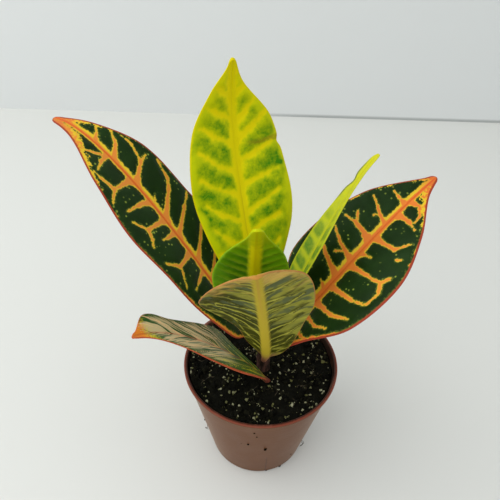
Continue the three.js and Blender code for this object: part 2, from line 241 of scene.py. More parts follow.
# One entry for each leaf, with the values that its solid has, and its own pattern: the side veins,
# the half-width of the midrib's band at base and tip, and how far the veins stand out below. Rims are
# the orange bands inside the left and right margin: the width, and the share of the blade's length
# from which a band widens towards the tip.
LEAVES = {
    "leaf_tall": {
        "foot": (1, -1.7, 66),
        "bends": [(-6, 11, 98), (-15, 30, 133)],
        "tip": (-12, 17, 159),
        "heading": 110,
        "petiole": 9,
        "roll": (-6, -9),
        "fold": (11, 11),
        "curl": -15,
        "left": (5, 10, 15, 17.5, 14.5, 7, 1.8),
        "right": (5, 11, 18, 18, 13.5, 4, 1.6),
        "waves": [(0.7, 2.5, 0.1, 1), (0.5, 3, 0.4, -1)],
        "nicks": [(1, 0.655, 0.9, 0.018)],
        "veins": TALL_VEINS,
        "band": (1.3, 0.9),
        "ridges": 0.12,
        "bulge": 0.35,
    },
    "leaf_left": {
        "foot": (0.9, -2.3, 55),
        "bends": [(-15, -3, 85), (-50, 15, 138)],
        "tip": (-69, 21, 137.7),
        "heading": 160,
        "petiole": 11,
        "roll": (1, 3),
        "fold": (14, 14),
        "curl": -16,
        "left": (7.5, 12, 15.5, 17, 13.5, 5.6, 3.2),
        "right": (5, 11, 17, 16.5, 13.5, 5.8, 1.8),
        "waves": [(0.5, 2.5, 0.3, 1), (0.6, 3, 0, -1)],
        "nicks": [],
        "veins": LEFT_VEINS,
        "band": (1.1, 0.85),
        "rims": [(0.8, 0.68), (0.5, 0.86)],
        "ridges": 0.18,
        "bulge": 0.35,
    },
    "leaf_right": {
        "foot": (0.9, -2.2, 54),
        "bends": [(12, -11, 80), (33, 4, 108)],
        "tip": (57, 21, 120.5),
        "heading": 25,
        "petiole": 11,
        "roll": (15, -28),
        "fold": (20, 12),
        "curl": -15,
        "left": (5.5, 11.5, 21.5, 19.5, 14, 5.7, 2.2),
        "right": (6, 11.5, 20.5, 20, 12.5, 4, 1.6),
        "waves": [(0.6, 2.5, 0.2, 1), (0.5, 3, 0.5, -1)],
        "nicks": [],
        "veins": RIGHT_VEINS,
        "band": (2.4, 0.6),
        "rims": [(0.7, 0.93), (1.1, 0.72)],
        "ridges": 0.18,
        "bulge": 0.35,
    },
    "leaf_narrow": {
        "foot": (1, -1.8, 64),
        "bends": [(12, -4, 91), (19, 2, 120)],
        "tip": (34, 14, 132),
        "heading": 38,
        "petiole": 9,
        "roll": (31, 22),
        "fold": (27, 20),
        "curl": -6,
        "left": (2.5, 4.5, 6.5, 5.5, 3, 2, 1.5),
        "right": (2.5, 5, 7, 7, 3.5, 2, 2),
        "waves": [],
        "nicks": [(-1, 0.84, 0.9, 0.03)],
        "veins": comb((5, 11, 17, 23, 29, 36, 43, 49, 55), 0.3, 0.8, -1)
        + comb((4, 10, 16, 22, 29, 36, 43, 50), 0.5, 0.8, 1),
        "band": (0.8, 0.6),
        "ridges": 0.1,
        "bulge": 0.15,
    },
    "leaf_small": {
        "foot": (1, -1.6, 68),
        "bends": [(-5, -9, 88), (-4, -17, 110)],
        "tip": (-4, -30, 133),
        "heading": -95,
        "petiole": 7,
        "roll": (-9, -6),
        "fold": (8, 11),
        "curl": -10,
        "left": (3.5, 7, 10.5, 10.5, 8, 3.5, 2),
        "right": (3.5, 7, 12, 12.5, 8.5, 3, 1.5),
        "waves": [],
        "nicks": [],
        "veins": comb((4, 9, 14, 19, 24, 29, 34, 38, 42.5, 47, 52), 0.45, 0.8, -1)
        + comb((3, 8, 13, 18, 23, 28, 33, 37.5, 42, 47, 52), 0.6, 0.8, 1),
        "band": (1.8, 1.5),
        "ridges": 0.25,
        "bulge": 0.25,
    },
    "leaf_front": {
        "foot": (0.9, -2.4, 52),
        "bends": [(3, -19, 72), (-4, -24, 115)],
        "tip": (-4, -52, 137),
        "heading": -93,
        "petiole": 9,
        "roll": (7, -18),
        "fold": (13, 8),
        "curl": -15,
        "left": (4.5, 8.5, 12, 15, 13, 5, 2.5),
        "right": (3, 6.5, 9, 17, 13.5, 5.5, 2),
        "waves": [(0.8, 2, 0.2, 1), (0.8, 2, 0.6, -1)],
        "nicks": [],
        "veins": FRONT_VEINS + comb(range(11, 84, 8), 1.1, 0.3, -1) + comb(range(12, 84, 8), 1.3, 0.3, 1),
        "band": (1.5, 1.2),
        "ridges": 0.25,
        "bulge": 0.3,
    },
    "leaf_low": {
        "foot": (6, -6.5, 37),
        "bends": [(3.5, -11, 57), (-29, -6, 76.5)],
        "tip": (-41, -24, 86.5),
        "heading": 196,
        "petiole": 10,
        "roll": (-14, 2),
        "fold": (4, 23),
        "curl": -12,
        "left": (2.5, 7, 11, 11, 7, 3, 1.5),
        "right": (2.5, 4.5, 9.5, 8.5, 6, 6.5, 1.6),
        "waves": [(0.8, 2.5, 0.1, 1)],
        "nicks": [],
        "veins": comb((3, 9, 16, 22, 29, 36, 43), 2.3, 0.4, -1)
        + comb((2, 8, 14, 21, 28, 36, 44), 2.5, 0.4, 1),
        "band": (0.5, 0.35),
        "ridges": 0.2,
        "bulge": 0.25,
    },
}

# The larger perlite grains that lie on the soil: place along X and Y, and size across.
GRAINS = [
    (-27, -4, 0.8),
    (-16, -3, 0.8),
    (-15.5, -13.5, 0.7),
    (-12.5, -19, 1.3),
    (-10, -14.5, 1.4),
    (-5, -17.5, 1.1),
    (-2.5, -14.5, 0.9),
    (-2, -23.5, 0.8),
    (-8, -25, 0.7),
    (-10, -20, 1.0),
    (5, -8.5, 1.1),
    (3.5, -11, 1.3),
    (6, -10, 0.9),
    (7.5, -4.5, 1.0),
    (7, -0.5, 1.2),
    (12.5, -4, 1.6),
    (17, -3, 1.1),
    (14, 5, 0.9),
    (16.5, -11, 1.1),
    (11, -10, 0.9),
    (25, 2, 1.6),
    (21.5, 9.5, 1.1),
    (25.5, -4, 1.4),
    (22.5, -12, 0.8),
    (11.5, -19.5, 1.1),
    (10, -24, 1.0),
    (-0.5, -19, 1.0),
    (-5.5, 4, 0.7),
]
# Crumbs of soil that cling to the pot or lie at its foot: direction in degrees, height, and size.
CLINGING = [
    (-94, 42.5, 0.6),
    (-92, 39, 0.5),
    (-99, 31, 0.9),
    (-84, 27, 1.2),
    (-105, 30, 0.4),
    (-78, 1, 1.3),
    (-64, 1, 1.2),
    (-60, 0.6, 1.6),
    (-49, 8.5, 0.6),
    (-150, 26, 0.7),
    (150, 38, 0.8),
    (60, 12, 0.9),
]
# Fibres that hang down outside the pot: direction in degrees, height of the upper end, length.
HANGING = [
    (-172, 48, 8),
    (-168, 44, 5),
    (-147, 24, 3.5),
    (-38, 16, 4.5),
    (-33, 13, 5),
    (-20, 44, 3),
]
# How far out loose pieces lie on the soil, and what they keep clear of, the stem and the lowest
# stalk: place along X and Y, and radius.
SOIL_REACH = 27.6
CLEAR = [(0.85, -2.5, 3), (2.6, -8.1, 1.8)]
FIBRES = {"count": 46, "shortest": 2.5, "longest": 8, "reach": 25, "limit": 27.4, "steps": 8}

STAGE = {"wall_at": 354.5, "reach": 1600, "wall_foot": -1, "wall_top": 1500}
LAMP = {"place": (-0.42, -0.16, 0.58), "size": 0.85}
SKY_TINT = (0.97, 0.985, 1.0, 1.0)
CAMERA = {"place": (-5.5, -128.9, 203.7), "pitch": 37.9, "roll": 1.7, "lens": 36, "sensor": 36, "near": 0.01}


def display(red, green, blue):
    """A colour given as a screen shows it, from 0 to 255, in the shader's own numbers."""
    shares = [v / 255 for v in (red, green, blue)]
    return tuple(v / 12.92 if v <= 0.04045 else ((v + 0.055) / 1.055) ** 2.4 for v in shares) + (1.0,)


def colour_property(name, description, *shown):
    return FloatVectorProperty(
        name=name, description=description, size=4, min=0, max=1, subtype="COLOR", default=display(*shown)
    )


def length_property(name, description, millimetres):
    return FloatProperty(name=name, description=description, default=millimetres * MM, min=0, unit="LENGTH")


def share_property(name, description, share):
    return FloatProperty(name=name, description=description, default=share, min=0, max=1, subtype="FACTOR")


class CrotonBlade(bpy.types.PropertyGroup):
    thickness: length_property("Thickness", "Thickness of every blade", 0.5)
    grid: length_property("Grid", "Distance between the points of a blade's skin", 0.5)
    stalk: length_property("Stalk radius", "Radius of the leaf stalks", 1.15)
    rib: length_property("Midrib radius", "How far the midrib stands out below at the blade's base", 1.0)
    gloss: share_property("Roughness", "Roughness of the upper faces", 0.42)


class CrotonMature(bpy.types.PropertyGroup):
    panel: colour_property("Panel", "Dark green between the veins", 22, 44, 12)
    panel_light: colour_property("Light panel", "Lighter green that clouds the panels", 30, 55, 17)
    fleck: colour_property("Fleck", "Pale green flecks on the panels", 150, 168, 66)
    border: colour_property("Border", "Yellow edge of the veins", 226, 190, 46)
    core: colour_property("Vein", "Orange inside the side veins", 226, 142, 58)
    heart: colour_property("Midrib", "Redder orange inside the midrib", 226, 116, 46)
    centre: colour_property("Centre line", "Red-brown line along the midrib", 182, 74, 30)
    tip: colour_property("Tip", "Red-orange of the tip", 208, 98, 50)
    margin: colour_property("Margin", "Red line round the blade", 158, 64, 42)
    stalk: colour_property("Stalk", "Brown of the leaf stalk", 112, 74, 56)
    below: colour_property("Underside", "Dull green-brown of the lower face", 92, 84, 54)


class CrotonStreaked(bpy.types.PropertyGroup):
    panel: colour_property("Panel", "Green between the streaks", 44, 86, 38)
    # Painted sheen: this pale tan stands in for the bright surroundings that the far half of the blade
    # reflects.
    islands_and_sheen: colour_property("Haze", "Pale tan bloom on the panels", 214, 196, 146)
    streak: colour_property("Streak", "Pinkish tan streaks", 238, 196, 140)
    blotch: colour_property("Blotch", "Yellow blotches near the margin", 206, 200, 44)
    tip: colour_property("Tip", "Orange of the tip", 232, 136, 44)
    margin: colour_property("Margin", "Red-orange line along margin and midrib", 184, 86, 52)
    stalk: colour_property("Stalk", "Dark pink-brown of the leaf stalk", 120, 62, 50)


class CrotonYellow(bpy.types.PropertyGroup):
    blade: colour_property("Blade", "Lime yellow of the youngest blades", 232, 216, 5)
    lime: colour_property("Lime", "Yellow-green towards the margins", 194, 202, 6)
    patch: colour_property("Patch", "Green patches between the veins", 66, 130, 8)
    rib: colour_property("Midrib", "Yellow of the midrib and tip", 218, 204, 3)
    crease: colour_property("Crease", "Brown of the crease in the tall leaf", 140, 112, 24)
    pale: colour_property("Pale blade", "Pale lime of the narrow blade", 174, 182, 62)
    window: colour_property("Window", "Soft green windows of the narrow blade", 98, 138, 46)
    shaded: colour_property("Shaded edge", "Grey-green along the narrow blade's end", 92, 106, 62)


class CrotonGreen(bpy.types.PropertyGroup):
    panel: colour_property("Panel", "Green between the veins", 72, 132, 4)
    bright: colour_property("Bright panel", "Brighter green towards the margins", 116, 176, 12)
    vein: colour_property("Vein", "Light green of the side veins", 156, 192, 30)
    rib: colour_property("Midrib", "Yellow of the wide midrib", 246, 238, 8)
    tip: colour_property("Tip", "Lime yellow of the tip", 176, 192, 10)
    line: colour_property("Centre line", "Orange line along the midrib", 196, 140, 10)


class CrotonOlive(bpy.types.PropertyGroup):
    panel: colour_property("Panel", "Olive green between the veins", 142, 140, 50)
    # Painted shade: this darker olive stands in for the shade in the grooves beside the veins and over the
    # blade's lower part.
    shade: colour_property("Dark panel", "Darker olive along the veins", 62, 64, 8)
    islands_and_sheen: colour_property("Haze", "Grey-green islands towards the tip", 82, 92, 58)
    vein: colour_property("Vein", "Yellow of the side veins", 188, 184, 72)
    rib: colour_property("Midrib", "Yellow-tan of the wide midrib", 188, 166, 48)
    tip: colour_property("Tip", "Tan-brown towards the tip", 216, 174, 88)
    margin: colour_property("Margin", "Orange-tan line round the blade", 186, 124, 64)
    stalk: colour_property("Stalk", "Orange-brown of the leaf stalk", 158, 104, 80)


class CrotonPot(bpy.types.PropertyGroup):
    body: colour_property("Body", "Brown of the pot's wall", 103, 64, 35)
    # Painted sheen: the paler brown at the wall's outline stands in for the bright surroundings that the
    # plastic reflects at a grazing angle.
    edge: colour_property("Edge", "Paler brown where the wall turns away", 158, 130, 108)
    lip: colour_property("Lip", "Redder brown of the pot's lip", 122, 58, 42)
    stain: colour_property("Stain", "Dark soil stains inside the rim", 38, 26, 20)
    dust: colour_property("Dust", "Pale dust in patches on the wall", 150, 122, 104)
    soiled: colour_property("Soiling", "Brown specks of dried soil", 66, 44, 32)
    seam: colour_property("Seam", "Dark line of the moulding seam", 56, 34, 26)
    roughness: share_property("Roughness", "Roughness of the plastic", 0.4)
    segments: IntProperty(name="Segments", description="Steps round the pot", default=240, min=60, max=400)


class CrotonSoil(bpy.types.PropertyGroup):
    peat: colour_property("Peat", "Near black of damp peat", 7, 7, 3)
    peat_light: colour_property("Dry peat", "Brown of drier crumbs", 30, 29, 17)
    perlite: colour_property("Perlite", "Pale grey of clean grains", 170, 170, 136)
    stained: colour_property("Stained perlite", "Olive yellow of stained grains", 104, 104, 58)
    pore: colour_property("Pores", "Dark pores of the perlite grains", 70, 64, 44)
    fibre: colour_property("Fibre", "Tan of the root fibres", 96, 84, 62)
    crumbs: IntProperty(name="Crumbs", description="Number of peat crumbs", default=900, min=0, max=2000)
    grains: IntProperty(
        name="Small grains", description="Number of small perlite grains", default=540, min=0, max=600
    )


class CrotonStem(bpy.types.PropertyGroup):
    bark: colour_property("Bark", "Brown of the stem", 84, 58, 48)
    groove: colour_property("Groove", "Darker brown in the bark's grooves", 30, 22, 16)
    young: colour_property("Young wood", "Green-brown of the stem's upper end", 112, 100, 52)


class CrotonStage(bpy.types.PropertyGroup):
    floor: colour_property("Floor", "Pale floor", 218, 219, 214)
    wall: colour_property("Wall", "Pale grey wall", 216, 219, 218)
    cloud: colour_property("Cloud", "Faint grey that clouds both sheets", 205, 208, 204)
    shade: colour_property("Shade", "Grey of the line where wall and floor meet", 120, 126, 122)
    sky: FloatProperty(name="Sky", description="Strength of the even light", default=0.88, min=0)
    window: FloatProperty(
        name="Window", description="Power of the soft light", default=3.1, min=0, unit="POWER"
    )


GROUPS = {
    "croton_blade": CrotonBlade,
    "croton_mature": CrotonMature,
    "croton_streaked": CrotonStreaked,
    "croton_yellow": CrotonYellow,
    "croton_green": CrotonGreen,
    "croton_olive": CrotonOlive,
    "croton_pot": CrotonPot,
    "croton_soil": CrotonSoil,
    "croton_stem": CrotonStem,
    "croton_stage": CrotonStage,
}


class Wire:
    """A value or colour in a material: arithmetic on it adds Math nodes, and add() any other node."""

    def __init__(self, tree, socket=None):
        self.tree = tree
        self.socket = socket

    def add(self, kind, settings=None, inputs=None, output=0):
        node = self.tree.nodes.new(kind)
        for name, value in (settings or {}).items():
            setattr(node, name, value)
        feed(self.tree, node, inputs or {})
        return Wire(self.tree, node.outputs[output])

    def _math(self, operation, *terms):
        return self.add("ShaderNodeMath", {"operation": operation}, dict(enumerate(terms)))

    def __add__(self, other):
        return self._math("ADD", self, other)

    def __radd__(self, other):
        return self._math("ADD", other, self)

    def __sub__(self, other):
        return self._math("SUBTRACT", self, other)

    def __rsub__(self, other):
        return self._math("SUBTRACT", other, self)

    def __mul__(self, other):
        return self._math("MULTIPLY", self, other)

    def __truediv__(self, other):
        return self._math("DIVIDE", self, other)

    def __abs__(self):
        return self._math("ABSOLUTE", self)

    def least(self, other):
        return self._math("MINIMUM", self, other)

    def most(self, other):
        return self._math("MAXIMUM", self, other)

    def blended_least(self, other, width):
        return self._math("SMOOTH_MIN", self, other, width)


def feed(tree, node, inputs):
    """Links a node's inputs to wires, and sets those that are given plain values."""
    for key, value in inputs.items():
        if isinstance(value, Wire):
            tree.links.new(value.socket, node.inputs[key])
        else:
            node.inputs[key].default_value = value


def smooth(value, low, high):
    """0 up to low and 1 from high, with a soft step between; low above high turns it round."""
    settings = {"interpolation_type": "SMOOTHSTEP"}
    return value.add("ShaderNodeMapRange", settings, {"Value": value, "From Min": low, "From Max": high})


def mix(factor, first, second):
    return factor.add("ShaderNodeMix", {"data_type": "RGBA"}, {0: factor, 6: first, 7: second}, 2)


def clouds(place, scale, detail=2.0, roughness=0.5):
    """Soft noise from about -0.5 to 0.5; scale is in patches per unit of place."""
    inputs = {"Vector": place, "Scale": scale, "Detail": detail, "Roughness": roughness}
    return place.add("ShaderNodeTexNoise", {}, inputs) - 0.5


def attribute(material, name, output="Fac"):
    wire = Wire(material.node_tree)
    return wire.add("ShaderNodeAttribute", {"attribute_name": name}, {}, output)


def place_of(material):
    """Where a point is, in millimetres of the frame."""
    wire = Wire(material.node_tree)
    return scaled(wire.add("ShaderNodeNewGeometry"), (1 / MM,) * 3)


def scaled(vector, factors):
    return vector.add("ShaderNodeVectorMath", {"operation": "MULTIPLY"}, {0: vector, 1: factors})


def part_of(vector, axis):
    return vector.add("ShaderNodeSeparateXYZ", {}, {0: vector}, axis)


def joined(x, y):
    return x.add("ShaderNodeCombineXYZ", {}, {0: x, 1: y})


def new_material(name):
    material = bpy.data.materials.new(name)
    material.use_nodes = True
    return material


def finish_material(material, colour, roughness, height, depth, gloss, strength=0.6):
    """Joins a colour, a roughness and a height in millimetres to the material's shader."""
    bump = height.add("ShaderNodeBump", {}, {"Strength": strength, "Distance": depth * MM, "Height": height})
    inputs = {"Base Color": colour, "Roughness": roughness, "Specular IOR Level": gloss, "Normal": bump}
    feed(material.node_tree, material.node_tree.nodes["Principled BSDF"], inputs)
    return material


def add_object(name, mesh):
    thing = bpy.data.objects.new(name, mesh)
    bpy.context.collection.objects.link(thing)
    return thing


def add_mesh(name, points, faces, material, replaced=(), values=None):
    """A piece of the plant from points in millimetres, riding on the root body."""
    mesh = bpy.data.meshes.new(name)
    mesh.from_pydata((np.asarray(points) * MM).tolist(), [], faces)
    mesh.validate()
    mesh.update()
    for key, numbers in (values or {}).items():
        numbers = np.asarray(numbers, np.float32)
        kind, field = ("FLOAT_VECTOR", "vector") if numbers.ndim == 2 else ("FLOAT", "value")
        mesh.attributes.new(key, kind, "POINT").data.foreach_set(field, numbers.ravel())
    mesh.shade_smooth()
    piece = add_object(name, mesh)
    mesh.materials.append(material)
    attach(piece, "root")
    if replaced:
        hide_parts(*replaced)
    return piece


def ring_faces(rows, count):
    """Four-sided faces between rings of points that are stored one after the other."""
    start, k = np.meshgrid(np.arange(rows - 1) * count, np.arange(count), indexing="ij")
    after = (k + 1) % count
    quads = np.stack([start + k, start + after, start + count + after, start + count + k], -1)
    return quads.reshape(-1, 4).tolist()


def skin_faces(rows, count):
    """The same rings closed at each end by a fan from one of two points stored after them."""
    faces = ring_faces(rows, count)
    low, high, last = rows * count, rows * count + 1, (rows - 1) * count
    for k in range(count):
        after = (k + 1) % count
        faces += [(low, after, k), (high, last + k, last + after)]
    return faces


def polar(radius, angle, z):
    return radius * math.cos(angle), radius * math.sin(angle), z


def unit(vectors):
    return vectors / np.linalg.norm(vectors, axis=1, keepdims=True)


def between(ends, share):
    """A value that goes evenly from the first of two ends to the second."""
    return ends[0] + (ends[1] - ends[0]) * share


def reach_along(points):
    """The length of a line of points up to each of them."""
    return np.concatenate([[0], np.cumsum(np.linalg.norm(np.diff(points, axis=0), axis=1))])


def eased(value, low, high):
    share = np.clip((value - low) / (high - low), 0, 1)
    return share * share * (3 - 2 * share)


# Leaves


def half_width(leaf, hand, share):
    """Half-width at each share of the blade's length: a smooth line through the stations, less the nicks."""
    xs = np.array([0, *STATIONS, 1.0])
    widths = leaf["left" if hand < 0 else "right"]
    ys = np.array([BASE_HALF_WIDTH, *widths, TIP_SHARE * widths[-1]])
    high = np.minimum(np.arange(len(xs)) + 1, len(xs) - 1)
    low = np.maximum(np.arange(len(xs)) - 1, 0)
    slopes = (ys[high] - ys[low]) / (xs[high] - xs[low])
    i = np.clip(np.searchsorted(xs, share, side="right") - 1, 0, len(xs) - 2)
    span = xs[i + 1] - xs[i]
    u = np.clip((share - xs[i]) / span, 0, 1)
    rise = u * u * (3 - 2 * u)
    bend = span * (slopes[i] * u * (1 - u) ** 2 - slopes[i + 1] * u * u * (1 - u))
    past = np.clip((share - ROUND_FROM) / (1 - ROUND_FROM), 0, 1)
    width = (ys[i] * (1 - rise) + ys[i + 1] * rise + bend) * np.sqrt(1 - past**2)
    for side, at, depth, spread in leaf["nicks"]:
        if side == hand:
            width = width - depth * np.exp(-(((share - at) / spread) ** 2))
    return np.maximum(width, LEAST_HALF_WIDTH)


def rim_width(width, widens, share):
    """Width of the orange band inside a margin: double at the base, and wider again near the tip."""
    return width * (2 - 1.6 * eased(share, 0, 0.45)) + 4 * eased(share, widens, 1)


def midrib_line(leaf):
    """Close points on the midrib, their directions, and the length from the foot to each."""
    s = np.linspace(0, 1, MIDRIB_POINTS)[:, None]
    a, b, c, d = (np.array(p, float) for p in (leaf["foot"], *leaf["bends"], leaf["tip"]))
    points = (1 - s) ** 3 * a + 3 * (1 - s) ** 2 * s * b + 3 * (1 - s) * s**2 * c + s**3 * d
    way = 3 * (1 - s) ** 2 * (b - a) + 6 * (1 - s) * s * (c - b) + 3 * s**2 * (d - c)
    return points, unit(way), reach_along(points)


def blade_length(name):
    return midrib_line(LEAVES[name])[2][-1] - LEAVES[name]["petiole"]


def to_veins(veins, along, across):
    """Millimetres from each point to the edge of the nearest side vein, below zero inside it."""
    nearest = np.full(along.shape, FAR_FROM_VEINS)
    for side, width, *line in veins:
        line = np.array(line, float)
        reach = reach_along(line)
        flare = 0.9 * width if line[0, 1] == 0 else 0
        for k in range(len(line) - 1):
            way = line[k + 1] - line[k]
            u = ((along - line[k, 0]) * way[0] + (side * across - line[k, 1]) * way[1]) / (way @ way)
            u = np.clip(u, 0, 1)
            gap = np.hypot(along - line[k, 0] - u * way[0], side * across - line[k, 1] - u * way[1])
            run = reach[k] + u * (reach[k + 1] - reach[k])
            gap = gap - width / 2 * (1 - 0.8 * (run / reach[-1]) ** 1.2) - flare * np.exp(-run / 1.5)
            blend = np.clip(0.5 + (nearest - gap) / VEIN_BLEND, 0, 1)
            both = nearest * (1 - blend) + gap * blend - VEIN_BLEND / 2 * blend * (1 - blend)
            nearest = np.where(side * across >= 0, both, nearest)
    return nearest


def leaf_axes(leaf, s, share):
    """At lengths s from the foot: the midrib's point, and the ways out to the right and up from it."""
    points, way, reach = midrib_line(leaf)
    middle = np.stack([np.interp(s, reach, points[:, k]) for k in range(3)], -1)
    ahead = unit(np.stack([np.interp(s, reach, way[:, k]) for k in range(3)], -1))
    heading = math.radians(leaf["heading"])
    side = np.array([math.sin(heading), -math.cos(heading), 0.0])
    out = unit(side - (ahead @ side)[:, None] * ahead)
    up = np.cross(out, ahead)
    roll = np.radians(between(leaf["roll"], share))[:, None]
    return middle, np.cos(roll) * out + np.sin(roll) * up, np.cos(roll) * up - np.sin(roll) * out


def blade_bend(leaf, hand, away, share):
    """How far each point of a blade has turned about the midrib, and how far out and up that takes it."""
    widest = max(*leaf["left"], *leaf["right"])
    fold = np.radians(between(leaf["fold"], share))[:, None]
    bend = math.radians(leaf["curl"]) / widest
    turned_by = fold + bend * away
    flat = (np.sin(turned_by) - np.sin(fold)) / bend
    lift = (np.cos(fold) - np.cos(turned_by)) / bend
    for height, number, phase, side in leaf["waves"]:
        swing = np.sin(2 * np.pi * (number * share + phase))[:, None]
        lift = lift + np.where(side * hand > 0, height * swing * (away / widest) ** 1.5, 0)
    return turned_by, flat, lift


def leaf_skin(leaf, blade):
    """The rings of a leaf's skin, from the stalk's foot to the tip, and what each point knows."""
    length = midrib_line(leaf)[2][-1] - leaf["petiole"]
    grid = blade.grid / MM
    stalk = np.linspace(0, leaf["petiole"], int(leaf["petiole"] / STALK_STEP) + 1)[:-1]
    even = np.linspace(0, 1, int(length / grid) + 1)[:-1]
    s = np.concatenate([stalk, leaf["petiole"] + length * np.append(even, TIP_RINGS)])
    along = s - leaf["petiole"]
    inside = np.maximum(along / length, 0)
    middle, out, up = leaf_axes(leaf, s, inside)
    columns = int(max(*leaf["left"], *leaf["right"]) / grid)
    half = np.append(np.linspace(0, EVEN_COLUMNS, columns), EDGE_COLUMNS)
    u = np.concatenate([-half[:0:-1], half])

    hand = np.where(u < 0, -1.0, 1.0)[None, :]
    left, right = half_width(leaf, -1, inside), half_width(leaf, 1, inside)
    width = np.where(hand < 0, left[:, None], right[:, None])
    away = np.abs(u)[None, :] * width
    edge = width - away
    rims = [rim_width(*values, inside)[:, None] for values in leaf.get("rims", [(0, 0.5)] * 2)]
    rim = edge - np.where(hand < 0, *rims)
    vein = to_veins(leaf["veins"], along[:, None] + 0 * away, hand * away)
    band = between(leaf["band"], inside)[:, None]
    rib = away - band
    turned_by, flat, lift = blade_bend(leaf, hand, away, inside)
    quilt = leaf["bulge"] * eased(vein, 0, 2.2) * eased(rib, 0, 2) * eased(edge, 0, 2.5)
    rounded = np.sqrt(np.clip(1 - (1 - np.clip(edge / 0.4, 0, 1)) ** 2, 0, 1))
    ridge = np.clip(1 - (away / (1.25 * band)) ** 2, 0, 1)
    raised = np.exp(-((np.clip(vein + 0.3, 0, 9) / 0.45) ** 2)) * eased(edge, 0, 1)
    angle = np.pi / 2 * np.abs(u)[None, :] ** 0.8 * hand
    radius = blade.stalk / MM * (1 + 0.35 * np.exp(-s / 1.2))[:, None]
    part = eased(along / length, *SPREAD)[:, None]

    sides = []
    for sign, upper in ((1, 1.0), (-1, 0.0)):
        depth = sign * blade.thickness / MM / 2 * rounded + quilt - leaf["bulge"] / 2
        if upper:
            depth = depth + 0.22 * ridge - 0.1 * np.exp(-((away / 0.3) ** 2))
        else:
            depth = depth - blade.rib / MM * (1 - RIB_TAPER * inside[:, None]) * ridge**0.7
            depth = depth - leaf["ridges"] * raised * eased(rib, -0.6, 0.4)
        flank = hand * (flat - depth * np.sin(turned_by))
        rise = lift + depth * np.cos(turned_by)
        flank = flank * part + radius * np.sin(angle) * (1 - part)
        rise = rise * part + sign * radius * np.cos(angle) * (1 - part)
        skin = middle[:, None] + flank[..., None] * out[:, None] + rise[..., None] * up[:, None]
        plan = np.stack([along[:, None] + 0 * away, hand * away, 0 * away + UPPER_PLAN * upper], -1)
        sides.append([skin, plan, vein, rib, edge, rim, 0 * away + upper])
    return [np.concatenate([above, below[:, -2:0:-1]], axis=1) for above, below in zip(*sides)], s, u


def build_leaf(name, paint, settings, slot, *details):
    """The fine piece for one leaf, painted by one of the functions below."""
    material = paint(name, settings, blade_length(name), *details)
    layers, s, u = leaf_skin(LEAVES[name], bpy.context.scene.croton_blade)
    rows, count = layers[0].shape[:2]
    skin, plan, *others = [layer.reshape(rows * count, -1) for layer in layers]
    ends = [layers[0][0].mean(axis=0), layers[0][-1].mean(axis=0)]
    faces = [face[::-1] for face in skin_faces(rows, count)]
    values = {"plan": np.concatenate([plan, plan[[0, -1]]])}
    for key, layer in zip(LAYERS, others):
        values[key] = np.concatenate([layer[:, 0], layer[[0, -1], 0]])
    piece = add_mesh(name + "_fine", np.concatenate([skin, ends]), faces, material, [name], values)
    bake_strips(piece.data, rows, count, s, u)
    return piece


def bake_strips(mesh, rows, count, s, u):
    """Lays the upper face out as one strip of the bake map and the lower face as another."""
    place = (np.concatenate([u, u[-2:0:-1]]) + 1) / 2
    lower = np.arange(count) >= len(u)
    length = s / s[-1] * (1 - 2 * BAKE_EDGE) + BAKE_EDGE
    layer = mesh.uv_layers.new(name=BAKE_MAP)
    corners = np.zeros(len(mesh.loops), np.int64)
    mesh.loops.foreach_get("vertex_index", corners)
    sizes = np.zeros(len(mesh.polygons), np.int64)
    mesh.polygons.foreach_get("loop_total", sizes)
    face_of = np.repeat(np.arange(len(sizes)), sizes)
    body = corners < rows * count
    column = np.where(body, corners % count, 0)
    along = np.where(corners == rows * count + 1, length[-1], length[np.minimum(corners // count, rows - 1)])
    along = np.where(corners == rows * count, length[0], along)
    low_face = np.zeros(len(sizes), bool)
    np.logical_or.at(low_face, face_of, body & lower[column])
    across = np.where(body, place[column], 0.5)
    across = across * STRIP_HEIGHT + np.where(low_face[face_of], LOWER_STRIP, BAKE_EDGE)
    layer.data.foreach_set("uv", np.stack([along, across], -1).astype(np.float32).ravel())
    mesh.uv_layers.active = layer


def leaf_paint(name, *keys):
    """A new leaf material, its plan, the millimetres along and across it, and the layers asked for."""
    material = new_material(name)
    plan = attribute(material, "plan", "Vector")
    return material, plan, part_of(plan, 0), part_of(plan, 1), [attribute(material, key) for key in keys]


